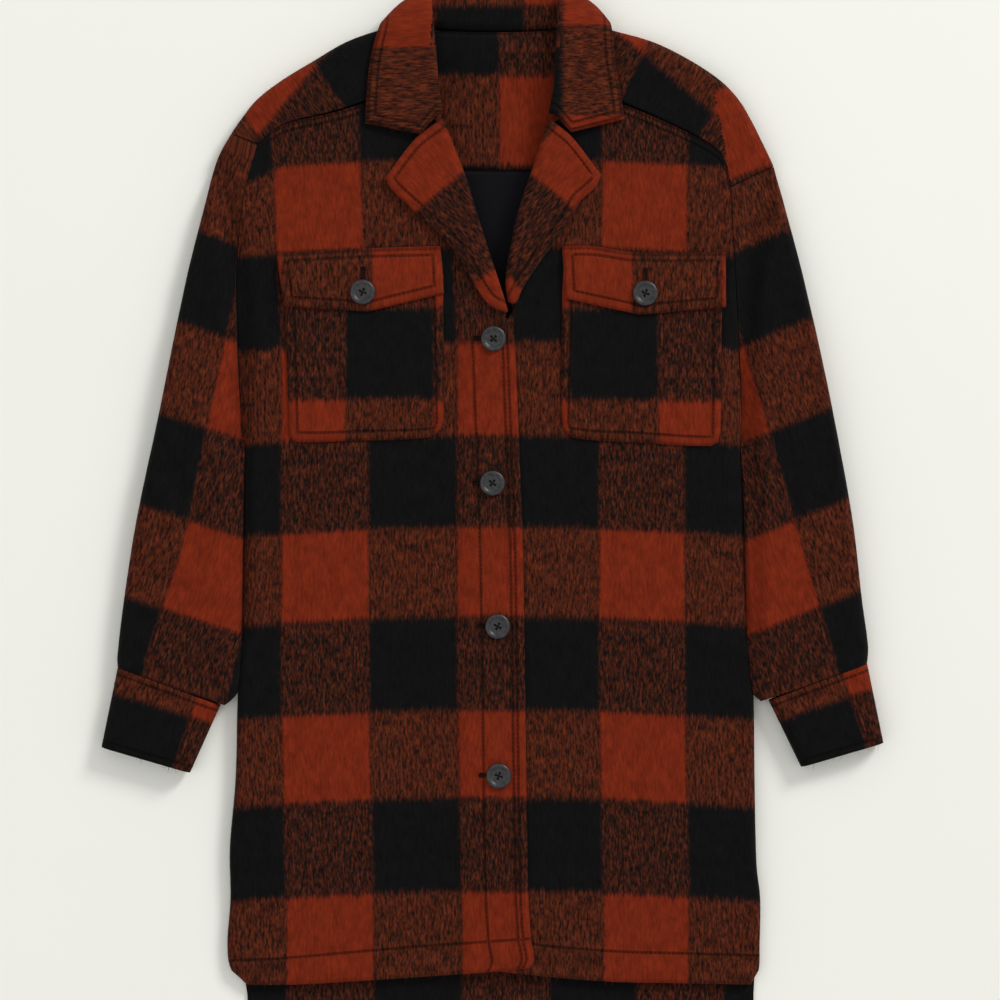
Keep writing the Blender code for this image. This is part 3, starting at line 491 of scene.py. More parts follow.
@functools.lru_cache(maxsize=None)
def side_y(side, row):
    """Y on the side seam or armhole of a row of the body."""
    bend = YOKE_SEAM[side][0][1]
    return follow(ROWS, row, 1) + follow(ROWS, row, 2) * (bend - UNDERARM_Y)


def side_point(side, row):
    """Plan point on the side seam or armhole of a row of the body."""
    y = side_y(side, row)
    return Vector((follow(SIDE[side], y), y))


def seam_drop(side, y):
    """How far the top cloth falls at the side seam, or in the valley along the armhole."""
    half = follow(HEIGHT, y) / 2.0
    return half * (1.0 - smooth(UNDERARM_Y, YOKE_SEAM[side][0][1] - 60.0, y)) ** 1.3


def seam_rise(y):
    """How far the back's side edge stands off the floor, at the seam, the slit and the armhole."""
    half = follow(HEIGHT, y) / 2.0
    return half * smooth(-455.0, -395.0, y) * (1.0 - smooth(UNDERARM_Y, UNDERARM_Y + 50.0, y))


def front_plan(side, column, row):
    """Plan point of a front at a share of its width and a row."""
    first = side_point(side, row)
    edge_y = follow(ROWS, row, 3)
    last = roll_inset(side, row, Vector((follow(EDGE[side], edge_y), edge_y)))
    place = first.lerp(last, column)
    top = smooth(11.0, TOP_ROW, row)
    if top > 0.0:
        ends = side_point(side, TOP_ROW).lerp(Vector(FRONT_NECK[side][-1]), column)
        place += (front_top_edge(side, column) - ends) * top
    bottom = 1.0 - smooth(0.0, 4.0, row)
    if bottom > 0.0:
        ends = Vector(HEM[side][0]).lerp(Vector(HEM[side][-1]), column)
        place += (along(HEM[side], column) - ends) * bottom
    return place


def front_top_edge(side, column):
    """Point on the yoke seam, then on the neckline, at a share of the front's width."""
    if column <= NECK_COLUMN:
        return along(YOKE_SEAM[side], column / NECK_COLUMN)
    return along(FRONT_NECK[side], (column - NECK_COLUMN) / (1.0 - NECK_COLUMN))


def front_height(side, x, y):
    """Height of a front's outer face, away from its side."""
    height = follow(HEIGHT, y)
    if side == RIGHT:
        height += OVERLAP_LIFT * smooth(-40.0, -24.0, x) * (1.0 - smooth(220.0, 275.0, y))
    return height


@functools.lru_cache(maxsize=None)
def lapel_share(side, row):
    """Share of the roll line at a row, from the break to the top of the lapel."""
    return (follow(ROWS, row, 3) - BREAK_Y[side]) / (ROLL_TOP_Y - BREAK_Y[side])


def lapel_turn(side, row, roll):
    """Direction from the roll to the lapel's edge, its width, and the angle turned there."""
    edge = along(LAPEL_EDGE[side], lapel_share(side, row))
    across = edge - roll
    return edge, across.normalized(), across.length, math.pi * min(across.length / TURN_LENGTH, 1.0)


def roll_inset(side, row, roll):
    """The end of the front's flat part, held back from the roll line by the fold's radius."""
    if lapel_share(side, row) <= 0.0:
        return roll
    _edge, out, _width, turn = lapel_turn(side, row, roll)
    return roll + out * ROLL_RADIUS * math.sin(min(turn, math.pi / 2.0))


def lapel_section(side, row, radius, tail):
    """Points round the fold at a row, then across the lapel to its edge, at one layer's radius.

    tail is the length that the layer keeps inside the front.
    """
    edge_y = follow(ROWS, row, 3)
    roll = Vector((follow(EDGE[side], edge_y), edge_y))
    edge, out, _width, turn = lapel_turn(side, row, roll)
    start = roll_inset(side, row, roll)
    base = front_height(side, start.x, start.y) + LAPEL_INNER
    points = []
    if tail:
        place = start + out * tail
        points.append((place.x, place.y, base - radius))
    for step in range(TURN_STEPS + 1):
        angle = turn * step / TURN_STEPS
        place = start - out * radius * math.sin(angle)
        points.append((place.x, place.y, base - radius * math.cos(angle)))
    if turn < math.pi:
        last = points[-1]
        flat = (edge - start).length * smooth(0.0, math.pi, turn) / LAPEL_STEPS
        for step in range(1, LAPEL_STEPS + 1):
            forward = -math.cos(turn) * flat * step
            rise = 0.3 * math.sin(turn) * flat * step
            points.append((last[0] + out.x * forward, last[1] + out.y * forward, last[2] + rise))
        return points
    top = lapel_share(side, row) ** 3
    for step in range(1, LAPEL_STEPS + 1):
        share = step / LAPEL_STEPS
        chord = Vector(LAPEL_TOP[side][0]).lerp(Vector(LAPEL_TOP[side][-1]), share)
        place = start.lerp(edge, share) + (along(LAPEL_TOP[side], share) - chord) * top
        height = front_height(side, place.x, place.y) + LAPEL_INNER + radius - 2.0 * SEAM * share
        points.append((place.x, place.y, height))
    return points


def front_grid(side):
    """Rows of points over a front, from its side to its edge and round the lapel."""
    rows = []
    for row in FINE_ROWS:
        points = []
        side_end = front_plan(side, 0.0, row)
        drop = seam_drop(side, side_end.y)
        half = follow(HEIGHT, side_end.y) / 2.0
        radius = half + (VALLEY_RADIUS - half) * smooth(UNDERARM_ROW, UNDERARM_ROW + 1.0, row)
        for column in COLUMNS:
            place = front_plan(side, column, row)
            away = (place - side_end).length
            height = front_height(side, place.x, place.y) - drop * (1.0 - bulge(away, radius))
            points.append((place.x, place.y, height + SIDE_GAP * (row <= UNDERARM_ROW and column == 0.0)))
        fold = [points[-1]] * (TURN_STEPS + LAPEL_STEPS)
        if lapel_share(side, row) > 0.0:
            fold = lapel_section(side, row, LAPEL_INNER, 0.0)[1:]
        rows.append(points + fold)
    return inset(rows, first_column=SEAM, last_row=SEAM / 2.0)


def inset(rows, first_column=0.0, last_column=0.0, first_row=0.0, last_row=0.0):
    """Pull the outer rows or columns of a grid in, so that a seam keeps its gap."""
    grid = [[Vector(point) for point in row] for row in rows]
    moves = []
    for row in grid:
        moves.append((row, 0, 1, first_column))
        moves.append((row, -1, -2, last_column))
    for outer, inner, gap in ((0, 1, first_row), (-1, -2, last_row)):
        for place in range(len(grid[0])):
            step = grid[inner][place] - grid[outer][place]
            if gap and step.length > gap:
                grid[outer][place] = grid[outer][place] + step.normalized() * gap
    for row, outer, inner, gap in moves:
        step = row[inner] - row[outer]
        if gap and step.length > gap:
            row[outer] = row[outer] + step.normalized() * gap
    return grid


def back_columns():
    """Shares along half the back seam, from armhole to middle, that yoke and back share."""
    shoulder = 1.0 - NECKLINE_SHARE
    shares = [column / NECK_COLUMN * shoulder for column in COLUMNS if column <= NECK_COLUMN]
    shares += [shoulder + NECKLINE_SHARE * step / NECKLINE_STEPS for step in range(1, NECKLINE_STEPS + 1)]
    return shares


# The back's first rows, from its hem. It is longer than the fronts below the side slits.
BACK_START = ((-1.0, -498.0), (0.0, -468.0), (1.0, -440.0), (2.0, -425.0), (3.0, -380.0))
BACK_ROWS = [-1.0 + step / 8.0 for step in range(8)] + FINE_ROWS[::2]
if len(FINE_ROWS) % 2 == 0:
    BACK_ROWS.append(float(TOP_ROW))


def back_grid():
    """Rows of points under the back panel, from the right side seam to the left one."""
    rows = []
    for row in BACK_ROWS:
        halves = []
        for side in (RIGHT, LEFT):
            y = follow(BACK_START, row) if row < 2.0 else side_y(side, row)
            end = Vector((back_side_x(side, y), y))
            middle = Vector((CENTRE_X, end.y))
            top = smooth(11.0, TOP_ROW, row)
            rise = seam_rise(end.y)
            points = []
            for share in back_columns():
                place = end.lerp(middle, share)
                if top > 0.0:
                    ends = side_point(side, TOP_ROW).lerp(Vector((CENTRE_X, side_y(side, TOP_ROW))), share)
                    place += (along(BACK_SEAM[side], share) - ends) * top
                away = (place - end).length
                rounded = bulge(away, follow(HEIGHT, end.y) / 2.0)
                height = rise * (1.0 - rounded) + neck_lift(place.x, place.y)
                points.append((place.x, place.y, max(height - SIDE_GAP * (share == 0.0), 0.0)))
            halves.append(points)
        joined = halves[0][:-1] + [blend(halves[0][-1], halves[1][-1])] + halves[1][-2::-1]
        rows.append(joined)
    return inset(rows, first_column=SEAM, last_column=SEAM, last_row=SEAM / 2.0)


def blend(first, second):
    """The point half way between two."""
    return tuple((a + b) / 2.0 for a, b in zip(first, second))


def back_side_x(side, y):
    """Side edge of the back, which hangs straight below the slit."""
    slit_y = -400.0
    if y > slit_y:
        return follow(SIDE[side], y)
    return follow((BACK_CORNER[side], BACK_SLIT[side], (slit_y, follow(SIDE[side], slit_y))), y)


def fold_steps(length, radius):
    """Distances from a rounded fold at which it has points, out to the far seam."""
    rounded = [radius * (1.0 - math.cos(math.radians(angle))) for angle in range(0, 91, 10)]
    return rounded + [radius + (length - radius) * share for share in spread(0.0, 22, 1.0)[1:]]


def yoke_point(over, far, away, rounded, top):
    """A point of the yoke: away from the shoulder fold point over towards the seam point far."""
    place = over.lerp(far, away / (far - over).length)
    low = neck_lift(place.x, place.y)
    high = follow(HEIGHT, place.y)
    middle = (low + high) / 2.0
    rise = bulge(away, YOKE_RADIUS)
    if top:
        return (place.x, place.y, middle + (high - middle) * rise)
    return (place.x, place.y, low + (middle - low) * (1.0 - rise) * rounded)


def yoke_grids(side):
    """The yoke's front strip and its half of the back, as two grids that share the shoulder."""
    shares = [column / NECK_COLUMN for column in COLUMNS if column <= NECK_COLUMN]
    front = []
    back = []
    for share in shares:
        over = along(SHOULDER[side], share)
        seam = along(YOKE_SEAM[side], share)
        steps = fold_steps((seam - over).length, YOKE_RADIUS)
        front.append([yoke_point(over, seam, away, 1.0, True) for away in steps])
        under = along(BACK_SEAM[side], share * (1.0 - NECKLINE_SHARE))
        steps = fold_steps((under - over).length, YOKE_RADIUS)
        back.append([yoke_point(over, under, away, 1.0, False) for away in steps])
    for step in range(1, NECKLINE_STEPS + 1):
        share = step / NECKLINE_STEPS
        over = along(BACK_NECK[side], share)
        under = along(BACK_SEAM[side], 1.0 - NECKLINE_SHARE * (1.0 - share))
        steps = fold_steps((under - over).length, YOKE_RADIUS)
        rounded = 1.0 - smooth(0.0, 0.45, share)
        back.append([yoke_point(over, under, away, rounded, False) for away in steps])
    front = inset(front, first_row=SEAM / 2.0, last_column=SEAM)
    back = inset(back, first_row=SEAM / 2.0, last_column=SEAM)
    for place in range(len(back[0])):
        back[-1][place].x = CENTRE_X
    return front, back


def armhole_points(side):
    """Plan points of the armhole seam from the shoulder fold over the bend to the underarm."""
    fold = Vector(SHOULDER[side][0])
    bend = Vector(YOKE_SEAM[side][0])
    steps = fold_steps((bend - fold).length, YOKE_RADIUS)
    points = [fold.lerp(bend, away / (bend - fold).length) for away in steps]
    points += [front_plan(side, 0.0, row) for row in reversed(FINE_ROWS[:-1]) if row >= UNDERARM_ROW]
    return points


def seam_shares(points):
    """Share of a seam's length at each of its points."""
    lengths = [0.0]
    for start, end in zip(points, points[1:]):
        lengths.append(lengths[-1] + (end - start).length)
    return [length / lengths[-1] for length in lengths]


def on_line(points, shares, share):
    """The point at a share of the length of a line of points."""
    for place in range(len(points) - 1):
        if share <= shares[place + 1]:
            span = shares[place + 1] - shares[place]
            return points[place].lerp(points[place + 1], (share - shares[place]) / span)
    return points[-1]


def tube_shares(count, width, radius):
    """Shares across a flattened tube, closer together at its two rounded sides."""
    ends = [radius * (1.0 - math.cos(math.radians(angle))) / width for angle in range(0, 91, 10)]
    inner = count - 2 * len(ends)
    middle = [ends[-1] + (1.0 - 2.0 * ends[-1]) * (step + 1) / (inner + 1) for step in range(inner)]
    return ends + middle + [1.0 - share for share in reversed(ends)]


def distance_to(points, place):
    """Distance from a place to a line of points."""
    nearest = math.inf
    for start, end in zip(points, points[1:]):
        run = end - start
        share = min(max((place - start).dot(run) / run.length_squared, 0.0), 1.0)
        nearest = min(nearest, (place - start - run * share).length)
    return nearest


def sleeve_rings(side):
    """Rings of points round the flattened sleeve, from the armhole to the cuff seam."""
    seam = armhole_points(side)
    shoulder, underarm = seam[0], seam[-1]
    valley = seam[len(fold_steps(20.0, 10.0)) - 1 : -3 : 6] + [seam[-1]]
    at_seam = seam_shares(seam)
    rings = []
    for length in SLEEVE_RINGS:
        outer = along(SLEEVE_OUTER[side], length)
        inner = along(SLEEVE_INNER[side], length)
        width = (inner - outer).length
        settled = smooth(0.0, 0.40, length)
        across = tube_shares(len(seam), width, follow(SLEEVE_HEIGHT, length) / 2.0)
        top = []
        under = []
        for share_seam, share_tube, at in zip(at_seam, across, seam):
            share = share_seam + (share_tube - share_seam) * settled
            bend = on_line(seam, at_seam, share) - shoulder.lerp(underarm, share)
            place = outer.lerp(inner, share) + bend * (1.0 - length) ** 3.5
            height = follow(HEIGHT, place.y) * (1.0 - settled) + follow(SLEEVE_HEIGHT, length) * settled
            half = height / 2.0
            edge = min((place - outer).length, (place - inner).length)
            sides = bulge(edge, YOKE_RADIUS)
            near = bulge(distance_to(valley, place), VALLEY_RADIUS)
            y = max(place.y, UNDERARM_Y)
            fall = 1.0 - seam_drop(side, y) / (follow(HEIGHT, y) / 2.0) * (1.0 - near)
            lift = 1.0 - seam_rise(y) / (follow(HEIGHT, y) / 2.0) * (1.0 - near)
            over = min(sides, fall) if length > 0.0 else seam_level(side, at, shoulder, True)
            below = min(sides, lift) if length > 0.0 else seam_level(side, at, shoulder, False)
            sunk = crease(place.x, place.y) * settled
            top.append(Vector((place.x, place.y, half + half * over - sunk * over)))
            under.append(Vector((place.x, place.y, half - half * below)))
        rings.append(top + under[-2:0:-1])
    return inset(rings, first_row=2.0 * SEAM, last_row=SEAM / 2.0)


def seam_level(side, place, shoulder, top):
    """How far a point of the armhole seam stands from the middle of the body's height."""
    rounded = bulge((place - shoulder).length, YOKE_RADIUS)
    half = follow(HEIGHT, place.y) / 2.0
    fall = seam_drop(side, place.y) if top else seam_rise(place.y)
    return min(rounded, 1.0 - fall / half)


def cuff_rings(side):
    """Rings of points round a cuff, from the sleeve seam to its edge."""
    outer_seam, inner_seam, inner_edge, outer_edge = [Vector(corner) for corner in CUFFS[side]]
    half = CUFF_HEIGHT / 2.0
    rings = []
    for length in spread(0.0, 26, 1.0):
        outer = outer_seam.lerp(outer_edge, length)
        inner = inner_seam.lerp(inner_edge, length)
        across = tube_shares(44, (inner - outer).length, half)
        places = [outer.lerp(inner, share) for share in across]
        rise = [min(bulge((p - outer).length, half), bulge((p - inner).length, half)) for p in places]
        top = [Vector((p.x, p.y, half + half * up)) for p, up in zip(places, rise)]
        under = [Vector((p.x, p.y, half - half * up)) for p, up in zip(places, rise)]
        rings.append(top + under[-2:0:-1])
    return inset(rings, first_row=SEAM)


def collar_grid():
    """Rows of points across the collar: up its stand, round the fold and down its leaf."""
    rows = []
    table = []
    for at, (seam, fold, edge, facing, bow, sag) in enumerate(COLLAR_ROWS):
        table.append((at, *seam, *fold, *edge, *facing, bow, sag))
    for station in range(COLLAR_STATIONS):
        place = station / (COLLAR_STATIONS - 1) * (len(COLLAR_ROWS) - 1)
        values = [follow(table, place, 1 + item) for item in range(14)]
        seam, fold, edge, facing = [Vector(values[item : item + 3]) for item in (0, 3, 6, 9)]
        bow, sag = values[12:]
        facing.normalize()
        away = (fold - edge).normalized()
        away = (away - facing * away.dot(facing)).normalized()
        low = fold - facing * COLLAR_FOLD
        points = [seam.lerp(low, share) for share in spread(0.0, 5, 1.0)[:-1]]
        for step in range(COLLAR_FOLD_STEPS + 1):
            angle = math.pi * step / COLLAR_FOLD_STEPS
            turned = away * math.sin(angle) - facing * math.cos(angle)
            points.append(fold + turned * COLLAR_FOLD)
        high = fold + facing * COLLAR_FOLD
        for share in spread(0.0, 20, 1.0)[1:]:
            arch = math.sin(math.pi * share)
            notch = min(share / COLLAR_NOTCH, (1.0 - share) / (1.0 - COLLAR_NOTCH))
            drop = Vector((0.0, -sag * notch, 0.0))
            points.append(high.lerp(edge, share) + facing * bow * arch + drop)
        rows.append(points)
    return rows


def patch(first, last, top, bottom, columns, rows, height):
    """Grid between four outlines, at the height that a function gives at each place."""
    corners = [Vector(bottom[0]), Vector(bottom[-1]), Vector(top[0]), Vector(top[-1])]
    grid = []
    for row in range(rows + 1):
        v = row / rows
        points = []
        for column in range(columns + 1):
            u = column / columns
            sides = along(first, v).lerp(along(last, v), u)
            ends = along(bottom, u).lerp(along(top, u), v)
            flat = corners[0].lerp(corners[1], u).lerp(corners[2].lerp(corners[3], u), v)
            place = sides + ends - flat
            points.append((place.x, place.y, height(place.x, place.y)))
        grid.append(points)
    return grid


def pocket_grid(side):
    """Points of a pocket's inner face, moved out from the front it is sewn to."""
    cut = POCKETS[side]

    def height(x, y):
        return front_height(side, x, y) + SEAM

    return patch(cut["first"], cut["last"], cut["top"], cut["bottom"], 46, 48, height)


def flap_grid(side):
    """Points of a flap's inner face: on the front at its top, on the pocket below."""
    cut = FLAPS[side]
    first = (cut["bottom"][0], cut["top"][0])
    last = (cut["bottom"][-1], cut["top"][-1])
    step = CLOTH + 2.0 * SEAM

    def height(x, y):
        return front_height(side, x, y) + SEAM + step * smooth(234.0, 218.0, y)

    return patch(first, last, cut["top"], cut["bottom"], 50, 20, height)


def facing_grid(side):
    """Rows of points of a lapel's facing, from inside the front round the roll to the edge."""
    rows = []
    for row in FINE_ROWS:
        if lapel_share(side, row) > FACING_START:
            rows.append(lapel_section(side, row, LAPEL_OUTER, FACING_TAIL))
    return inset(rows, last_row=SEAM)


def inner_height(x, y, gap):
    """Height over the inside of the back."""
    return neck_lift(x, y) + CLOTH + gap


def neck_facing_grid():
    """The facing inside the back neck, which shows between the lapels."""
    first = ((-72.0, 316.5), (-74.0, 380.0), (-70.0, 445.0))
    last = ((76.0, 316.5), (78.0, 380.0), (74.0, 445.0))
    top = ((-70.0, 445.0), (CENTRE_X, 443.0), (74.0, 445.0))
    bottom = ((-72.0, 316.5), (CENTRE_X, 315.5), (76.0, 316.5))
    return patch(first, last, top, bottom, 36, 32, lambda x, y: inner_height(x, y, 3.0 * SEAM))


def lining_grid():
    """The lining where it shows below the neck facing, and a margin round it."""
    first = ((-72.0, 110.0), (-72.0, 315.8))
    last = ((76.0, 110.0), (76.0, 315.8))
    top = ((-72.0, 315.8), (CENTRE_X, 314.8), (76.0, 315.8))
    bottom = ((-72.0, 110.0), (76.0, 110.0))
    return patch(first, last, top, bottom, 30, 40, lambda x, y: inner_height(x, y, 2.0 * SEAM))


# The check: half periods of its colours across and down the cloth, in metres. Even halves are rust.
HALF_ACROSS = 0.0835
HALF_DOWN = 0.0865

# Where the colour changes on the fronts, across and down. Columns: place, count of half periods.
FRONT_ACROSS = {
    RIGHT: ((-285.5, -1), (-201.9, 0), (-118.3, 1), (-34.7, 2), (48.9, 3)),
    LEFT: ((-65.0, -2), (18.5, -1), (100.2, 0), (181.9, 1), (264.0, 2)),
}
FRONT_DOWN = (
    (-404.0, -1),
    (-324.5, 0),
    (-240.5, 1),
    (-150.5, 2),
    (-61.0, 3),
    (25.2, 4),
    (111.2, 5),
    (199.2, 6),
    (283.4, 7),
    (372.0, 8),
    (460.0, 9),
    (546.0, 10),
)
FRONT_SAG = 9.5

# Columns: place x y, counts there across and down, direction across x y,
# direction down x y, half period down.
CHECKS = {
    "sleeve_right": (-290.2, -19.0, 0.0, 0.0, 0.98, -0.20, -0.309, -0.951, 88.0),
    "sleeve_left": (286.4, -19.0, 0.0, 0.0, -0.961, -0.276, 0.375, -0.927, 86.0),
    "cuff_right": (-288.5, -206.5, 0.0, 1.0, 0.952, -0.305, -0.305, -0.952, 86.0),
    "cuff_left": (338.7, -187.2, 0.0, 1.0, 0.948, 0.318, 0.318, -0.948, 86.0),
    "pocket_right": (-140.1, 96.0, 1.0, 2.0, 1.0, 0.0, 0.0, -1.0, 86.5),
    "pocket_left": (156.3, 95.0, 0.0, 2.0, 1.0, 0.0, 0.0, -1.0, 86.5),
    "flap_right": (-115.9, 212.0, 0.0, 0.5, 1.0, 0.0, 0.0, -1.0, 86.5),
    "flap_left": (132.5, 212.0, 1.0, 0.5, 1.0, 0.0, 0.0, -1.0, 86.5),
    "yoke_right": (-168.6, 412.3, 1.0, 1.0, 0.826, 0.562, 0.777, -0.629, 86.0),
    "yoke_left": (142.0, 423.7, 1.0, 1.0, 0.90, -0.44, -0.639, -0.769, 86.0),
    "shoulder_left": (232.0, 352.0, 0.5, 0.5, 0.94, 0.34, 0.34, -0.94, 86.0),
    "yoke_back": (100.2, 318.3, 0.0, 0.0, 1.0, 0.0, 0.0, -1.0, 86.5),
    "collar_right": (-90.0, 428.5, 1.0, 0.5, 0.0, -1.0, -1.0, 0.0, 120.0),
    "collar_left": (65.5, 449.0, 1.0, 0.0, 0.0, -1.0, 1.0, 0.0, 86.5),
    "collar_back": (29.0, 471.0, 0.0, 1.0, 1.0, 0.0, 0.0, -1.0, 86.5),
    "lapel_facing_right": (-49.9, 292.0, 0.5, 1.0, 0.76, 0.65, 0.65, -0.76, 86.0),
    "lapel_facing_left": (60.3, 288.0, 0.5, 1.0, 0.77, -0.61, -0.61, -0.77, 86.0),
    "neck_facing": (5.2, 405.6, 0.0, 2.0, 1.0, 0.0, 0.0, -1.0, 86.5),
    "lining": (0.0, 0.0, 0.0, 0.0, 1.0, 0.0, 0.0, -1.0, 86.5),
}

# Where the left shoulder's own patch of cloth starts. Columns: y, x.
SHOULDER_PATCH = ((298.3, 224.7), (342.0, 219.0), (374.3, 212.3), (400.0, 208.0))

# Soft folds of the laid cloth. Columns: start x y, end x y, half width, height, down or up.
FOLDS = (
    (-300.0, 215.0, -262.0, 120.0, 17.0, -2.2),
    (-318.0, 130.0, -262.0, 40.0, 18.0, 1.6),
    (-330.0, 60.0, -268.0, -30.0, 16.0, -2.6),
    (-322.0, 20.0, -292.0, -70.0, 12.0, 1.8),
    (-345.0, -60.0, -262.0, -110.0, 15.0, -2.2),
    (-340.0, -110.0, -300.0, -152.0, 10.0, -2.0),
    (-285.0, -125.0, -268.0, -180.0, 9.0, -1.8),
    (-318.0, -128.0, -305.0, -170.0, 8.0, 1.4),
    (302.0, 205.0, 262.0, 110.0, 17.0, -2.2),
    (322.0, 110.0, 264.0, 30.0, 18.0, 1.7),
    (334.0, 45.0, 268.0, -40.0, 15.0, -2.6),
    (345.0, -50.0, 270.0, -104.0, 16.0, -2.0),
    (330.0, -20.0, 300.0, -90.0, 11.0, 1.6),
    (338.0, -108.0, 300.0, -150.0, 10.0, -2.0),
    (286.0, -122.0, 270.0, -178.0, 9.0, -1.8),
    (318.0, -124.0, 304.0, -166.0, 8.0, 1.4),
    (-232.0, 300.0, -200.0, 120.0, 15.0, -1.4),
    (-212.0, 40.0, -224.0, -160.0, 20.0, -1.6),
    (-150.0, 30.0, -168.0, -330.0, 34.0, 1.4),
    (-90.0, -60.0, -78.0, -420.0, 30.0, -1.3),
    (-200.0, -240.0, -206.0, -446.0, 22.0, 1.3),
    (214.0, 280.0, 205.0, 120.0, 15.0, -1.4),
    (210.0, 40.0, 222.0, -160.0, 20.0, -1.6),
    (150.0, 30.0, 164.0, -330.0, 34.0, 1.4),
    (86.0, -60.0, 78.0, -420.0, 30.0, -1.3),
    (204.0, -240.0, 210.0, -446.0, 22.0, 1.3),
    (-130.0, 52.0, -70.0, 46.0, 12.0, -1.2),
    (90.0, 52.0, 190.0, 44.0, 12.0, -1.2),
    (-180.0, 352.0, -110.0, 300.0, 16.0, -1.2),
    (180.0, 340.0, 118.0, 290.0, 16.0, -1.2),
    (-60.0, 250.0, -30.0, 190.0, 11.0, -1.0),
    (64.0, 250.0, 40.0, 190.0, 11.0, -1.0),
)

# The valleys between the body and the sleeves: places along them.
VALLEYS = {
    RIGHT: (
        *((-262, 318), (-252, 262), (-245, 228), (-241, 190)),
        *((-240, 140), (-241, 57), (-243, -20), (-243, -130)),
    ),
    LEFT: (
        *((262, 306), (252, 262), (244, 228), (240, 190)),
        *((239, 140), (240, 57), (243, -20), (244, -130)),
    ),
}
VALLEY_REACH = (215.0, 285.0)
VALLEY_DEPTH = 8.0
VALLEY_HALF = 18.0

# Rows of stitches. Columns: panel, border, distance from it. Each row's groove is darkened in the cloth's
# colour as painted shade. At under 1 mm there is a groove but no thread.
STITCHES = (
    ("front_right", "last_column", 8.0),
    ("front_right", "last_column", 12.5),
    ("front_right", "last_column", 41.0),
    ("front_right", "first_row", 29.5),
    ("front_left", "last_column", 8.0),
    ("front_left", "first_row", 29.5),
    ("sleeve_right", "first_row", 0.2),
    ("sleeve_left", "first_row", 0.2),
    ("back", "first_row", 6.0),
    ("front_right", "last_row", 2.0),
    ("front_right", "last_row", 8.0),
    ("front_left", "last_row", 2.0),
    ("front_left", "last_row", 8.0),
    ("pocket_right", "first_column", 8.0),
    ("pocket_right", "last_column", 8.0),
    ("pocket_right", "first_row", 8.0),
    ("pocket_left", "first_column", 8.0),
    ("pocket_left", "last_column", 8.0),
    ("pocket_left", "first_row", 8.0),
    ("flap_right", "first_column", 8.0),
    ("flap_right", "last_column", 8.0),
    ("flap_right", "first_row", 8.0),
    ("flap_right", "last_row", 2.0),
    ("flap_right", "last_row", 8.0),
    ("flap_left", "first_column", 8.0),
    ("flap_left", "last_column", 8.0),
    ("flap_left", "first_row", 8.0),
    ("flap_left", "last_row", 2.0),
    ("flap_left", "last_row", 8.0),
    ("collar", "last_column", 2.0),
    ("collar", "last_column", 8.5),
    ("collar", "first_row", 2.0),
    ("collar", "first_row", 8.5),
    ("collar", "last_row", 2.0),
    ("collar", "last_row", 8.5),
    ("lapel_facing_right", "last_column", 8.0),
    ("lapel_facing_right", "last_row", 8.0),
    ("lapel_facing_left", "last_column", 8.0),
    ("lapel_facing_left", "last_row", 8.0),
    ("cuff_right", "first_row", 6.0),
    ("cuff_right", "last_row", 6.0),
    ("cuff_left", "first_row", 6.0),
    ("cuff_left", "last_row", 6.0),
)

# The most rows that a panel has, how far from all rows other cloth counts as, and how alike two
# distances are when one row stops at the other.
GROOVES = 6
NO_GROOVE = 99.0
ALIKE = 3.0
LEAST_DISTANCE = 1.0

# Where the front's upright rows end, and the size of a stitch.
STITCH_TOP = 158.0
STITCH_LENGTH = 3.0
STITCH_GAP = 1.3
STITCH_RADIUS = 0.24


def run_share(points, place):
    """How far a place is from a straight run of two points, and its share of the run."""
    start, end = points
    run = end - start
    share = min(max((place - start).dot(run) / run.length_squared, 0.0), 1.0)
    return (place - start - run * share).length, share


def relief(x, y):
    """Height of the soft folds and of the cloth's small unevenness at a place."""
    place = Vector((x, y))
    height = 0.0
    wander = 9.0 * noise.noise(Vector((x * 0.021, y * 0.017, 3.1)))
    wandered = place + Vector((wander, wander * 0.4))
    for x1, y1, x2, y2, half_width, tall in FOLDS:
        if min(x1, x2) - 45.0 > x or max(x1, x2) + 45.0 < x:
            continue
        away, share = run_share((Vector((x1, y1)), Vector((x2, y2))), wandered)
        if away < half_width:
            ends = math.sin(math.pi * (0.12 + 0.76 * share))
            height += tall * ends * (1.0 - (away / half_width) ** 2) ** 2
    if VALLEY_REACH[0] < abs(x) < VALLEY_REACH[1]:
        points = [Vector(point) for point in VALLEYS[LEFT if x > 0.0 else RIGHT]]
        away = min(run_share(run, place)[0] for run in zip(points, points[1:]))
        if away < VALLEY_HALF:
            height -= VALLEY_DEPTH * (1.0 - (away / VALLEY_HALF) ** 2) ** 2
    height += 0.55 * noise.noise(Vector((x * 0.012, y * 0.009, 0.0)))
    height += 0.32 * noise.noise(Vector((x * 0.045, y * 0.03, 7.0)))
    return height


def front_cloth(side, x, y):
    """Counts of half periods across and down at a place on a front."""
    down = y + FRONT_SAG * (x / 240.0) ** 2
    if side == RIGHT:
        down += 16.0 * smooth(196.0, 236.0, -x) * smooth(230.0, 320.0, y)
    shift = (7.2 if side == RIGHT else -3.0) * smooth(120.0, 330.0, y) - 4.5 * smooth(150.0, 420.0, -y)
    if side == RIGHT:
        shift += 3.5 * smooth(300.0, 370.0, y)
    return follow(FRONT_ACROSS[side], x + shift), follow(FRONT_DOWN, -down)


# How far the back's check sits below the fronts'.
BACK_LOWERED = 13.0


def back_cloth(x, y):
    """Counts on the back. Its check starts at the right side seam and is even past the middle."""
    across = front_cloth(RIGHT, min(x, 0.0), y)[0]
    down = front_cloth(RIGHT, x, y)[1]
    return across + max(x, 0.0) / (HALF_ACROSS * 1000.0), down


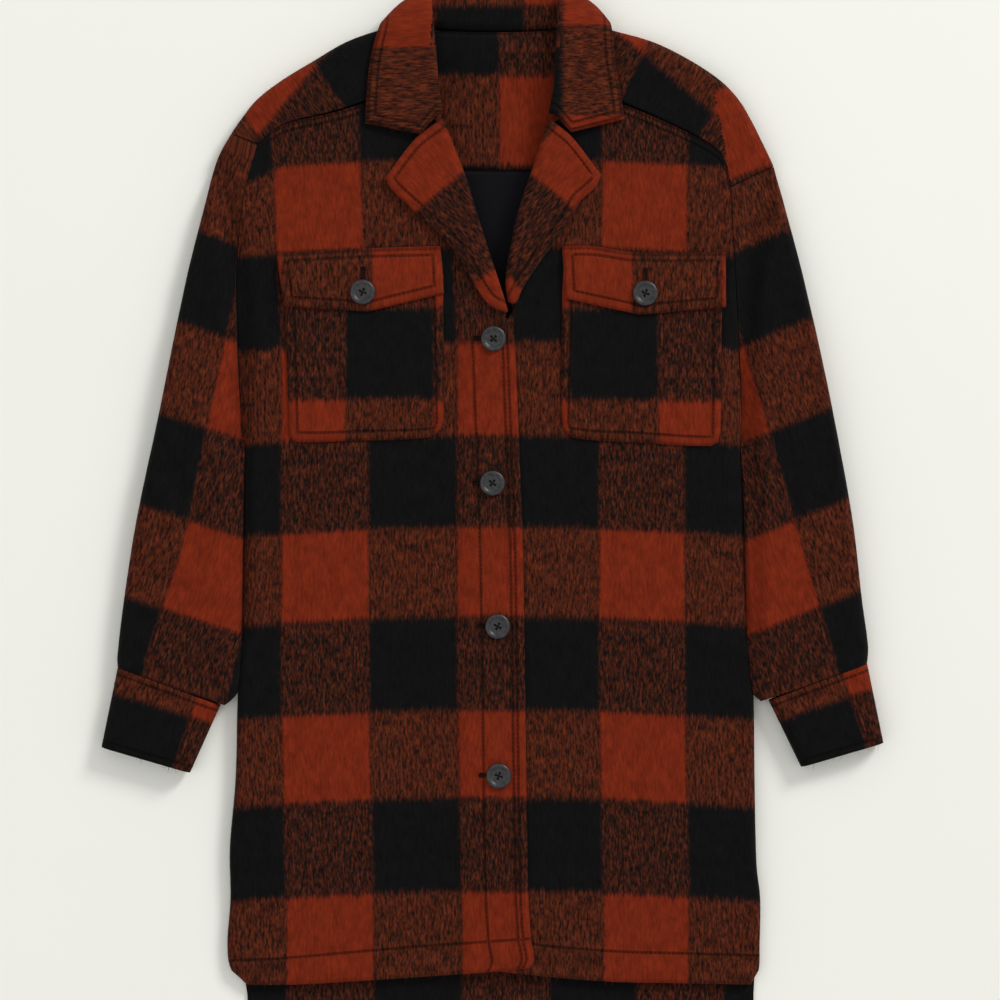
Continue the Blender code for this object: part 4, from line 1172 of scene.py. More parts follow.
def cloth(panel, x, y):
    """Counts of half periods across and down at a place on a panel."""
    if panel.startswith("front"):
        return front_cloth(RIGHT if panel.endswith("right") else LEFT, x, y)
    if panel == "back":
        return back_cloth(x, y - BACK_LOWERED)
    x0, y0, across0, down0, ax, ay, dx, dy, half = CHECKS[panel]
    across = across0 + ((x - x0) * ax + (y - y0) * ay) / (HALF_ACROSS * 1000.0)
    down = down0 + ((x - x0) * dx + (y - y0) * dy) / half
    if panel == "sleeve_right":
        across += 0.16 * smooth(20.0, 170.0, -y)
        down = max(down, -3.95)
    return across, down


def part_of(panel, middle):
    """The stretch of cloth that a face of a panel belongs to, from the face's middle."""
    if panel == "yoke":
        if abs(middle.x - CENTRE_X) < 64.0 and middle.y > 425.0:
            return "neck_facing"
        if middle.z < 9.0:
            return "yoke_back"
        if middle.x > follow(SHOULDER_PATCH, middle.y):
            return "shoulder_left"
        return "yoke_left" if middle.x > 0.0 else "yoke_right"
    if panel == "collar":
        if abs(middle.x - CENTRE_X) < 62.0 and middle.y > 430.0:
            return "collar_back"
        return "collar_left" if middle.x > 0.0 else "collar_right"
    return panel


def borders(grid):
    """Distance of every point of a grid from each of its four borders, along its lines."""
    tall, wide = len(grid), len(grid[0])
    found = {}
    for name, order in (("first_row", range(tall)), ("last_row", range(tall - 1, -1, -1))):
        table = [[0.0] * wide for _row in range(tall)]
        for before, row in zip(order, order[1:]):
            for column in range(wide):
                step = (grid[row][column] - grid[before][column]).length
                table[row][column] = table[before][column] + step
        found[name] = table
    for name, order in (("first_column", range(wide)), ("last_column", range(wide - 1, -1, -1))):
        table = [[0.0] * wide for _row in range(tall)]
        for before, column in zip(order, order[1:]):
            for row in range(tall):
                step = (grid[row][column] - grid[row][before]).length
                table[row][column] = table[row][before] + step
        found[name] = table
    return found


def stitch_line(grid, table, distance, others):
    """Points of a line at a distance from a border, clear of the other stitched borders."""
    tall, wide = len(grid), len(grid[0])
    lines = [[(row, column) for column in range(wide)] for row in range(tall)]
    if table[0][0] == 0.0 and table[0][-1] == 0.0 or table[-1][0] == 0.0 and table[-1][-1] == 0.0:
        lines = [[(row, column) for row in range(tall)] for column in range(wide)]
    found = []
    for line in lines:
        for (r1, c1), (r2, c2) in zip(line, line[1:]):
            first, second = table[r1][c1], table[r2][c2]
            if (first - distance) * (second - distance) <= 0.0 and first != second:
                share = (distance - first) / (second - first)
                if all(other[r1][c1] > distance - 1.0 for other in others):
                    found.append(grid[r1][c1].lerp(grid[r2][c2], share))
                break
    return found


# How far a sleeve's inner edge leans towards the body. Columns: place along the body, distance.
# It is too far in places, where the sleeve cuts into the body's side.
LEAN = (
    (-198.0, 1.0),
    (-191.0, 7.0),
    (-182.0, 11.0),
    (-150.0, 9.5),
    (-114.0, 7.2),
    (-57.0, 5.4),
    (0.0, 4.6),
    (40.0, 4.0),
    (62.0, 2.4),
    (84.0, 0.0),
)

# How far the leaning edge drops towards the cuff, for each millimetre that it leans.
LEAN_DROP = 0.16


def leaned(side, rings):
    """Rings of a sleeve whose inner edge leans towards the body's side."""
    moved = []
    for ring in rings:
        inner = min(ring, key=lambda point: abs(point.x)).x
        outer = max(ring, key=lambda point: abs(point.x)).x
        row = []
        for point in ring:
            share = (point.x - outer) / (inner - outer)
            away = follow(LEAN, point.y) * smooth(0.55, 1.0, share)
            row.append(Vector((point.x - side * away, point.y - LEAN_DROP * away, point.z)))
        moved.append(row)
    return moved


def settle(grids, rolled):
    """Lay a panel's points on the folds and turn its free edges down."""
    settled = []
    for grid in grids:
        rows = [[Vector(point) for point in row] for row in grid]
        tables = borders(rows)
        for at_row, row in enumerate(rows):
            for at, point in enumerate(row):
                share = smooth(4.0, 16.0, point.z)
                if share > 0.0:
                    point.z += relief(point.x, point.y) * share
                for name in rolled:
                    point.z -= 1.0 * (1.0 - bulge(tables[name][at_row][at], 4.0)) * share
        settled.append(rows)
    return settled


def stopping_borders(name, border, distance):
    """Borders whose own row of stitches, about as far in, ends a panel's row along this border."""
    others = [row for row in STITCHES if row[0] == name and row[1] != border]
    return [row[1] for row in others if abs(row[2] - distance) < ALIKE]


def panel_mesh(name, grids, wall, up, surface, ring=False, guide=-1, offset=-1.0, even=True, rolled=()):
    """A cloth panel of even thickness with its check, laid in soft folds."""
    settled = settle(grids, rolled)
    rows_of_stitches = [
        (border, far, stopping_borders(name, border, far)) for panel, border, far in STITCHES if panel == name
    ]
    shape = bmesh.new()
    weave = shape.loops.layers.uv.new("cloth")
    mark = shape.faces.layers.int.new("guide")
    grooves = [shape.verts.layers.float.new("groove_%d" % at) for at in range(GROOVES)]
    guides = []
    for grid in settled:
        tables = borders(grid)
        verts = []
        for at_row, row in enumerate(grid):
            made = []
            for at, point in enumerate(row):
                vert = shape.verts.new(point * MM)
                for groove in grooves:
                    vert[groove] = NO_GROOVE
                for groove, (border, far, others) in zip(grooves, rows_of_stitches):
                    away = tables[border][at_row][at] - far
                    past = name.startswith("front") and border == "last_column" and point.y > STITCH_TOP
                    if past or any(tables[other][at_row][at] < far - 1.5 for other in others):
                        away = math.copysign(NO_GROOVE, away)
                    vert[groove] = away
                made.append(vert)
            verts.append(made)
        for low, high in zip(verts, verts[1:]):
            pairs = list(zip(low, low[1:], high[1:], high))
            if ring:
                pairs.append((low[-1], low[0], high[0], high[-1]))
            faces = [shape.faces.new(corners) for corners in pairs]
            guides.append([face for face in faces if face.calc_area() > 1e-8][guide])
            for face in faces:
                part = part_of(name, face.calc_center_median() / MM)
                for loop in face.loops:
                    across, down = cloth(part, loop.vert.co.x / MM, loop.vert.co.y / MM)
                    loop[weave].uv = (across * HALF_ACROSS, down * HALF_DOWN)
    guides[(len(settled[0]) - 1) // 2][mark] = 1
    bmesh.ops.remove_doubles(shape, verts=shape.verts, dist=0.00002)
    bmesh.ops.recalc_face_normals(shape, faces=shape.faces)
    marked = next(face for face in shape.faces if face[mark])
    if (marked.normal.z > 0.0) != up:
        bmesh.ops.reverse_faces(shape, faces=shape.faces)
    shape.faces.layers.int.remove(mark)
    mesh = bpy.data.meshes.new("cloth_" + name)
    shape.to_mesh(mesh)
    area = sum(face.calc_area() for face in shape.faces)
    shape.free()
    mesh.shade_smooth()
    mesh.materials.append(surface)
    made = bpy.data.objects.new("cloth_" + name, mesh)
    bpy.context.scene.collection.objects.link(made)
    thick = made.modifiers.new("wall", "SOLIDIFY")
    thick.thickness = wall * MM
    thick.offset = offset
    thick.use_even_offset = even
    return made, settled, area


def stitches_on(name, settled):
    """Rows of stitches on a panel, as lists of points."""
    found = []
    for panel, border, distance in STITCHES:
        if panel != name or distance < LEAST_DISTANCE:
            continue
        for grid in settled:
            tables = borders(grid)
            others = set(stopping_borders(name, border, distance))
            line = stitch_line(grid, tables[border], distance, [tables[other] for other in others])
            if name.startswith("front") and border == "last_column":
                line = [point for point in line if point.y < STITCH_TOP]
            if len(line) > 3:
                found.append(line)
    return found


def thread_mesh(name, lines, surface, radius=STITCH_RADIUS, length=STITCH_LENGTH, gap=STITCH_GAP):
    """Stitches of thread along lines of points, each a small rounded bar sunk at its ends."""
    verts = []
    faces = []
    sides = 5
    for line in lines:
        lengths = [0.0]
        for start, end in zip(line, line[1:]):
            lengths.append(lengths[-1] + (end - start).length)
        place = gap
        at = 0
        while place + length < lengths[-1]:
            stops = []
            for share in (0.0, 0.25, 0.75, 1.0):
                target = place + length * share
                while at < len(lengths) - 2 and lengths[at + 1] < target:
                    at += 1
                span = max(lengths[at + 1] - lengths[at], 1e-6)
                stops.append(line[at].lerp(line[at + 1], (target - lengths[at]) / span))
            run = (stops[-1] - stops[0]).normalized()
            out = Vector((0.0, 0.0, 1.0)) if abs(run.z) < 0.8 else Vector((1.0, 0.0, 0.0))
            across = run.cross(out).normalized()
            out = across.cross(run)
            base = len(verts)
            for stop, size, lift in zip(stops, (0.45, 1.0, 1.0, 0.45), (-0.5, 0.35, 0.35, -0.5)):
                middle = stop + out * radius * lift
                for side in range(sides):
                    angle = 2.0 * math.pi * side / sides
                    ring = across * math.cos(angle) + out * math.sin(angle)
                    verts.append((middle + ring * radius * size) * MM)
            for ring in range(3):
                low = base + ring * sides
                for side in range(sides):
                    nxt = (side + 1) % sides
                    faces.append((low + side, low + nxt, low + sides + nxt, low + sides + side))
            faces.append(tuple(base + side for side in reversed(range(sides))))
            faces.append(tuple(base + 3 * sides + side for side in range(sides)))
            place += length + gap
    return plain_mesh(name, verts, faces, surface)


def plain_mesh(name, verts, faces, surface):
    """An object from lists of points and faces, smooth and in one material."""
    mesh = bpy.data.meshes.new(name)
    mesh.from_pydata([tuple(point) for point in verts], [], faces)
    mesh.shade_smooth()
    mesh.materials.append(surface)
    made = bpy.data.objects.new(name, mesh)
    bpy.context.scene.collection.objects.link(made)
    return made


# A button's section. Columns: radius, height over the cloth.
BUTTON_TOP = (
    (0.0, 2.45),
    (4.2, 2.4),
    (6.6, 2.35),
    (7.6, 2.6),
    (8.4, 3.35),
    (9.3, 3.8),
    (10.6, 3.75),
    (11.6, 3.1),
    (12.0, 2.2),
)
DISH_RADIUS = 6.3
HOLE_PLACE = 2.0
HOLE_RADIUS = 1.05


def button_mesh(name, middle, turned, surface):
    """A four-hole button with a dished middle and a rounded rim."""
    around = 80
    turns = [2.0 * math.pi * step / around for step in range(around)]
    radii = [step * 0.35 for step in range(1, 19)]
    radii += [DISH_RADIUS + (BUTTON_RADIUS - DISH_RADIUS) * (step / 14) for step in range(1, 15)]
    holes = []
    for corner in range(4):
        angle = turned + math.pi / 4.0 + corner * math.pi / 2.0
        holes.append(Vector((math.cos(angle), math.sin(angle))) * HOLE_PLACE * math.sqrt(2.0))
    rings = [[(0.0, 0.0, 2.45)]]
    for radius in radii:
        ring = []
        for angle in turns:
            place = Vector((math.cos(angle), math.sin(angle))) * radius
            near = min((place - hole).length for hole in holes)
            outside = smooth(HOLE_RADIUS * 0.75, HOLE_RADIUS * 1.2, near)
            height = follow(BUTTON_TOP, radius) - 2.0 * (1.0 - outside)
            ring.append((place.x, place.y, height))
        rings.append(ring)
    for radius, height in ((11.9, 1.4), (11.2, 0.6), (9.5, 0.15), (6.0, 0.0)):
        rings.append([(radius * math.cos(angle), radius * math.sin(angle), height) for angle in turns])
    verts = [(Vector(point) + middle) * MM for ring in rings for point in ring]
    faces = [(0, 1 + step, 1 + (step + 1) % around) for step in range(around)]
    for ring in range(len(rings) - 2):
        low = 1 + ring * around
        for step in range(around):
            nxt = (step + 1) % around
            faces.append((low + step, low + around + step, low + around + nxt, low + nxt))
    last = 1 + (len(rings) - 2) * around
    faces.append(tuple(last + step for step in reversed(range(around))))
    return plain_mesh(name, verts, faces, surface)


def button_thread_and_slit_shade(middle, turned):
    """Lines of the thread that crosses a button through its holes."""
    lines = []
    corners = []
    for corner in range(4):
        angle = turned + math.pi / 4.0 + corner * math.pi / 2.0
        corners.append(Vector((math.cos(angle), math.sin(angle), 0.0)) * HOLE_PLACE * math.sqrt(2.0))
    for first, second in ((0, 2), (1, 3)):
        for aside in (-0.35, 0.0, 0.35):
            run = (corners[second] - corners[first]).normalized()
            shift = Vector((-run.y, run.x, 0.0)) * aside
            points = []
            for step in range(9):
                share = step / 8.0
                arch = 1.1 * math.sin(math.pi * share) ** 0.5 + 1.7 + 0.3 * first
                between = corners[first].lerp(corners[second], share)
                points.append(middle + between + shift + Vector((0.0, 0.0, arch)))
            lines.append(points)
    return lines


def tube_mesh(name, lines, radius, surface):
    """Even round tubes along lines of points, joined in one object."""
    verts = []
    faces = []
    sides = 6
    for line in lines:
        base = len(verts)
        for at, point in enumerate(line):
            run = (line[min(at + 1, len(line) - 1)] - line[max(at - 1, 0)]).normalized()
            out = Vector((0.0, 0.0, 1.0)) if abs(run.z) < 0.9 else Vector((1.0, 0.0, 0.0))
            across = run.cross(out).normalized()
            out = across.cross(run)
            for side in range(sides):
                angle = 2.0 * math.pi * side / sides
                verts.append((point + (across * math.cos(angle) + out * math.sin(angle)) * radius) * MM)
        for at in range(len(line) - 1):
            low = base + at * sides
            for side in range(sides):
                nxt = (side + 1) % sides
                faces.append((low + side, low + nxt, low + sides + nxt, low + sides + side))
        faces.append(tuple(base + side for side in reversed(range(sides))))
        faces.append(tuple(base + (len(line) - 1) * sides + side for side in range(sides)))
    return plain_mesh(name, verts, faces, surface)


def top_height(side, x, y, over):
    """Height of the laid cloth's outer face with its folds, and of what lies over it."""
    return front_height(side, x, y) + relief(x, y) + over


def buttonhole(side, middle, direction, over, length=27.0):
    """A worked buttonhole: a long loop of zigzag thread round a slit."""
    along_slit = Vector(direction).normalized()
    across = Vector((-along_slit.y, along_slit.x))
    points = []
    count = 62
    for step in range(count * 2 + 1):
        angle = 2.0 * math.pi * step / (count * 2)
        wide = 2.1 if step % 2 else 0.7
        place = Vector(middle) + along_slit * (length / 2.0 + wide * 0.5) * math.cos(angle)
        place += across * wide * max(min(math.sin(angle) * 3.0, 1.0), -1.0)
        points.append(Vector((place.x, place.y, top_height(side, place.x, place.y, over + 0.25))))
    return points


def slit(side, middle, direction, over, length=25.0):
    """Painted shade in a buttonhole's slit: the points of a dark tube laid along it."""
    along_slit = Vector(direction).normalized()
    points = []
    for step in range(11):
        place = Vector(middle) + along_slit * length * (step / 10.0 - 0.5)
        points.append(Vector((place.x, place.y, top_height(side, place.x, place.y, over - 0.1))))
    return points


def link(tree, value, socket):
    """Put a number, colour or another node's output on a socket."""
    if isinstance(value, bpy.types.NodeSocket):
        tree.links.new(value, socket)
    else:
        socket.default_value = value


def calc(tree, operation, first, second=0.0, third=0.0):
    """A maths node's output."""
    made = tree.nodes.new("ShaderNodeMath")
    made.operation = operation
    for value, socket in zip((first, second, third), made.inputs):
        link(tree, value, socket)
    return made.outputs[0]


def ramp(tree, value, low, high, to_low=0.0, to_high=1.0):
    """A smooth step of a value between two ends."""
    made = tree.nodes.new("ShaderNodeMapRange")
    made.interpolation_type = "SMOOTHSTEP"
    for at, item in enumerate((value, low, high, to_low, to_high)):
        link(tree, item, made.inputs[at])
    return made.outputs[0]


def grain(tree, across, down, per_across, per_down, detail=2.0, seed=0.0):
    """Noise over the cloth, with its number of features to a metre across and down."""
    place = tree.nodes.new("ShaderNodeCombineXYZ")
    link(tree, calc(tree, "MULTIPLY", across, per_across), place.inputs[0])
    link(tree, calc(tree, "MULTIPLY", down, per_down), place.inputs[1])
    place.inputs[2].default_value = seed
    made = tree.nodes.new("ShaderNodeTexNoise")
    made.inputs["Scale"].default_value = 1.0
    made.inputs["Detail"].default_value = detail
    tree.links.new(place.outputs[0], made.inputs["Vector"])
    return made.outputs[0]


def mixed(tree, share, first, second):
    """A colour between two colours."""
    made = tree.nodes.new("ShaderNodeMix")
    made.data_type = "RGBA"
    link(tree, share, made.inputs[0])
    link(tree, first, made.inputs[6])
    link(tree, second, made.inputs[7])
    return made.outputs[2]


def new_material(name, roughness):
    """A node material, its tree and its shader."""
    made = bpy.data.materials.new(name)
    made.use_nodes = True
    shader = made.node_tree.nodes["Principled BSDF"]
    shader.inputs["Roughness"].default_value = roughness
    return made, made.node_tree, shader


def bumped(tree, shader, height, distance=0.001, strength=1.0):
    """Give a shader a bump of a height in millimetres."""
    made = tree.nodes.new("ShaderNodeBump")
    made.inputs["Strength"].default_value = strength
    made.inputs["Distance"].default_value = distance
    link(tree, height, made.inputs["Height"])
    tree.links.new(made.outputs[0], shader.inputs["Normal"])


def cloth_place(tree):
    """The two coordinates of the cloth, in metres."""
    place = tree.nodes.new("ShaderNodeUVMap")
    place.uv_map = "cloth"
    parts = tree.nodes.new("ShaderNodeSeparateXYZ")
    tree.links.new(place.outputs[0], parts.inputs[0])
    return parts.outputs[0], parts.outputs[1]


# Colours, as linear red, green, blue and alpha.
RUST = (0.163, 0.0180, 0.0054, 1.0)
RUST_STREAK = (0.120, 0.0215, 0.0068, 1.0)
BLACK = (0.0042, 0.0042, 0.0046, 1.0)
BROWN = (0.0120, 0.0058, 0.0042, 1.0)
SATIN = ((0.0022, 0.0021, 0.0040, 1.0), (0.0042, 0.0040, 0.0068, 1.0))
HORN = ((0.0105, 0.0105, 0.0122, 1.0), (0.026, 0.026, 0.0295, 1.0))
PALE = ((0.885, 0.885, 0.835, 1.0), (0.90, 0.90, 0.855, 1.0))
DARK_THREAD = ((0.0050, 0.0028, 0.0024, 1.0), (0.0150, 0.0060, 0.0042, 1.0))
# The next colours are the button thread's. They also colour the dark tubes of painted shade in the buttonhole
# slits.
THREAD_AND_SLIT_SHADE = ((0.0030, 0.0030, 0.0035, 1.0), (0.0070, 0.0070, 0.0080, 1.0))


def wool_material():
    """Brushed wool in a large check of rust and black, streaked where the two cross, with painted shade in
    its stitch grooves.
    """
    made, tree, shader = new_material("checked_wool_cloth", 0.92)
    across, down = cloth_place(tree)
    long_streak = grain(tree, across, down, 430.0, 92.0, 2.0, 1.0)
    short_streak = grain(tree, across, down, 680.0, 210.0, 2.0, 2.0)
    fine = grain(tree, across, down, 2600.0, 1500.0, 2.0, 3.0)
    cloud = grain(tree, across, down, 90.0, 60.0, 2.0, 4.0)
    half_long = calc(tree, "MULTIPLY", long_streak, 0.5)
    half_short = calc(tree, "MULTIPLY", short_streak, 0.5)
    streak = calc(tree, "ADD", half_long, half_short)
    ragged = grain(tree, across, down, 480.0, 60.0, 3.0, 5.0)
    fuzzy = grain(tree, across, down, 420.0, 240.0, 3.0, 6.0)
    wave_down = calc(tree, "SINE", calc(tree, "MULTIPLY", down, math.pi / HALF_DOWN))
    wave_across = calc(tree, "SINE", calc(tree, "MULTIPLY", across, math.pi / HALF_ACROSS))
    far_down = calc(tree, "MULTIPLY", wave_down, HALF_DOWN / math.pi)
    far_across = calc(tree, "MULTIPLY", wave_across, HALF_ACROSS / math.pi)
    rough_down = calc(tree, "MULTIPLY_ADD", calc(tree, "SUBTRACT", ragged, 0.5), 0.014, far_down)
    rough_across = calc(tree, "MULTIPLY_ADD", calc(tree, "SUBTRACT", fuzzy, 0.5), 0.006, far_across)
    weft = ramp(tree, rough_down, -0.0042, 0.0042)
    warp = ramp(tree, rough_across, -0.0026, 0.0026)
    both = calc(tree, "MULTIPLY", warp, weft)
    one = calc(tree, "SUBTRACT", calc(tree, "MAXIMUM", warp, weft), both)
    more = calc(tree, "MULTIPLY_ADD", calc(tree, "SUBTRACT", weft, warp), 0.035, streak)
    pick = ramp(tree, more, 0.34, 0.76)
    solid = mixed(tree, both, BLACK, RUST)
    dull = mixed(tree, ramp(tree, short_streak, 0.35, 0.62), BLACK, BROWN)
    crossed = mixed(tree, pick, dull, RUST_STREAK)
    colour = mixed(tree, one, solid, crossed)
    slubs = ramp(tree, long_streak, 0.30, 0.70, 0.84, 1.16)
    specks = ramp(tree, fine, 0.30, 0.70, 0.82, 1.18)
    shade = calc(tree, "MULTIPLY", slubs, specks)
    shade = calc(tree, "MULTIPLY", shade, ramp(tree, cloud, 0.3, 0.7, 0.87, 1.12))
    nearest = NO_GROOVE
    for at in range(GROOVES):
        groove = tree.nodes.new("ShaderNodeAttribute")
        groove.attribute_name = "groove_%d" % at
        nearest = calc(tree, "MINIMUM", calc(tree, "ABSOLUTE", groove.outputs["Fac"]), nearest)
    # Painted shade: the cloth's colour is darkened by up to 0.4 in the stitch grooves, where shade falls. The
    # same mask also sinks the bump.
    sunk = ramp(tree, nearest, 0.3, 2.2, 1.0, 0.0)
    shade = calc(tree, "MULTIPLY", shade, calc(tree, "MULTIPLY_ADD", sunk, -0.4, 1.0))
    scaled = tree.nodes.new("ShaderNodeVectorMath")
    scaled.operation = "SCALE"
    tree.links.new(colour, scaled.inputs[0])
    tree.links.new(shade, scaled.inputs["Scale"])
    tree.links.new(scaled.outputs[0], shader.inputs["Base Color"])
    shader.inputs["Sheen Weight"].default_value = 0.03
    shader.inputs["Sheen Roughness"].default_value = 0.5
    shader.inputs["Sheen Tint"].default_value = (1.0, 0.72, 0.6, 1.0)
    shader.inputs["Specular IOR Level"].default_value = 0.06
    height = calc(tree, "MULTIPLY_ADD", streak, 0.9, calc(tree, "MULTIPLY", fine, 0.35))
    height = calc(tree, "MULTIPLY_ADD", sunk, -1.6, height)
    bumped(tree, shader, height, 0.001, 0.8)
    return made


def lining_material():
    """Smooth black satin with a fine twill."""
    made, tree, shader = new_material("satin_lining", 0.6)
    across, down = cloth_place(tree)
    twill = calc(tree, "SINE", calc(tree, "MULTIPLY", calc(tree, "ADD", across, down), 5200.0))
    soft = grain(tree, across, down, 40.0, 14.0, 2.0, 9.0)
    colour = mixed(tree, soft, *SATIN)
    tree.links.new(colour, shader.inputs["Base Color"])
    shader.inputs["Specular IOR Level"].default_value = 0.08
    height = calc(tree, "MULTIPLY_ADD", twill, 0.03, calc(tree, "MULTIPLY", soft, 1.5))
    bumped(tree, shader, height, 0.001, 0.6)
    return made


def object_place(tree):
    """The place in the object, in metres."""
    return tree.nodes.new("ShaderNodeTexCoord").outputs["Object"]


def object_noise(tree, scale, detail=3.0):
    """Noise over the object's own place."""
    made = tree.nodes.new("ShaderNodeTexNoise")
    made.inputs["Scale"].default_value = scale
    made.inputs["Detail"].default_value = detail
    tree.links.new(object_place(tree), made.inputs["Vector"])
    return made.outputs[0]


def button_material():
    """Dark blue grey horn with faint clouds and a satin polish."""
    made, tree, shader = new_material("dark_horn", 0.34)
    cloud = object_noise(tree, 260.0)
    colour = mixed(tree, ramp(tree, cloud, 0.35, 0.65), *HORN)
    tree.links.new(colour, shader.inputs["Base Color"])
    tree.links.new(ramp(tree, object_noise(tree, 1400.0), 0.3, 0.7, 0.28, 0.46), shader.inputs["Roughness"])
    bumped(tree, shader, object_noise(tree, 2200.0), 0.001, 0.05)
    return made


def thread_material(name, first, second):
    """Twisted sewing thread."""
    made, tree, shader = new_material(name, 0.7)
    twist = object_noise(tree, 1800.0, 1.0)
    tree.links.new(mixed(tree, twist, first, second), shader.inputs["Base Color"])
    shader.inputs["Specular IOR Level"].default_value = 0.1
    return made


def floor_material():
    """A plain pale surface."""
    made, tree, shader = new_material("pale_surface", 0.85)
    cloud = object_noise(tree, 6.0)
    tree.links.new(mixed(tree, cloud, *PALE), shader.inputs["Base Color"])
    shader.inputs["Specular IOR Level"].default_value = 0.1
    return made


def hair_mesh(panels, surface, count):
    """Loose wool hairs lying on the cloth that shows, each a narrow bent ribbon."""
    seed = 17

    def number():
        nonlocal seed
        seed = (seed * 1103515245 + 12345) % 2147483648
        return seed / 2147483648.0

    verts = []
    faces = []
    places = []
    total = sum(area for _name, _grids, area in panels)
    for name, grids, area in panels:
        wanted = int(count * area / total)
        cells = []
        for grid in grids:
            rows = range(len(grid) - 1)
            columns = range(len(grid[0]) - 1)
            cells += [(grid, row, column) for row in rows for column in columns]
        made = 0
        tries = 0
        while made < wanted and tries < wanted * 6:
            tries += 1
            grid, row, column = cells[int(number() * len(cells))]
            corner, right, up = grid[row][column], grid[row][column + 1], grid[row + 1][column]
            normal = (right - corner).cross(up - corner)
            size = normal.length
            if size < 0.5 or number() * 16.0 > size:
                continue
            normal = normal / size
            if normal.z < 0.0:
                normal = -normal
            if corner.z < 8.0 and name != "back":
                continue
            root = corner + (right - corner) * number() + (up - corner) * number()
            part = part_of(name, root)
            here = cloth(part, root.x, root.y)
            grain_x = (cloth(part, root.x + 1.0, root.y)[1] - here[1]) * HALF_DOWN
            grain_y = (cloth(part, root.x, root.y + 1.0)[1] - here[1]) * HALF_DOWN
            run = Vector((grain_x, grain_y, 0.0))
            if run.length < 1e-9:
                continue
            angle = (number() - 0.5) * 1.1
            run.normalize()
            cosine = math.cos(angle)
            sine = math.sin(angle)
            run = Vector((run.x * cosine - run.y * sine, run.x * sine + run.y * cosine, 0.0))
            run = (run - normal * run.dot(normal)).normalized()
            across = normal.cross(run)
            length = 3.0 + 5.0 * number()
            bend = (number() - 0.5) * 0.5
            rise = 0.25 + 0.9 * number() ** 2
            width = 0.07 + 0.07 * number()
            base = len(verts)
            for share in (0.0, 0.35, 0.7, 1.0):
                middle = root + run * length * share + across * bend * length * share * share
                middle += normal * (rise * math.sin(math.pi * min(share * 0.8 + 0.05, 1.0)) + 0.08)
                thin = width * (1.0 - 0.8 * share)
                verts.append((middle - across * thin) * MM)
                verts.append((middle + across * thin) * MM)
            for step in range(3):
                low = base + 2 * step
                faces.append((low, low + 1, low + 3, low + 2))
                places.append((here[0] * HALF_ACROSS, here[1] * HALF_DOWN))
            made += 1
    hairs = plain_mesh("wool_hairs", verts, faces, surface)
    layer = hairs.data.uv_layers.new(name="cloth")
    for face, (across, down) in zip(hairs.data.polygons, places):
        for loop in face.loop_indices:
            layer.data[loop].uv = (across, down)
    for at in range(GROOVES):
        mark = hairs.data.attributes.new("groove_%d" % at, "FLOAT", "POINT")
        mark.data.foreach_set("value", [NO_GROOVE] * len(verts))
    return hairs


# How many loose hairs lie on the wool.
HAIRS = 26000


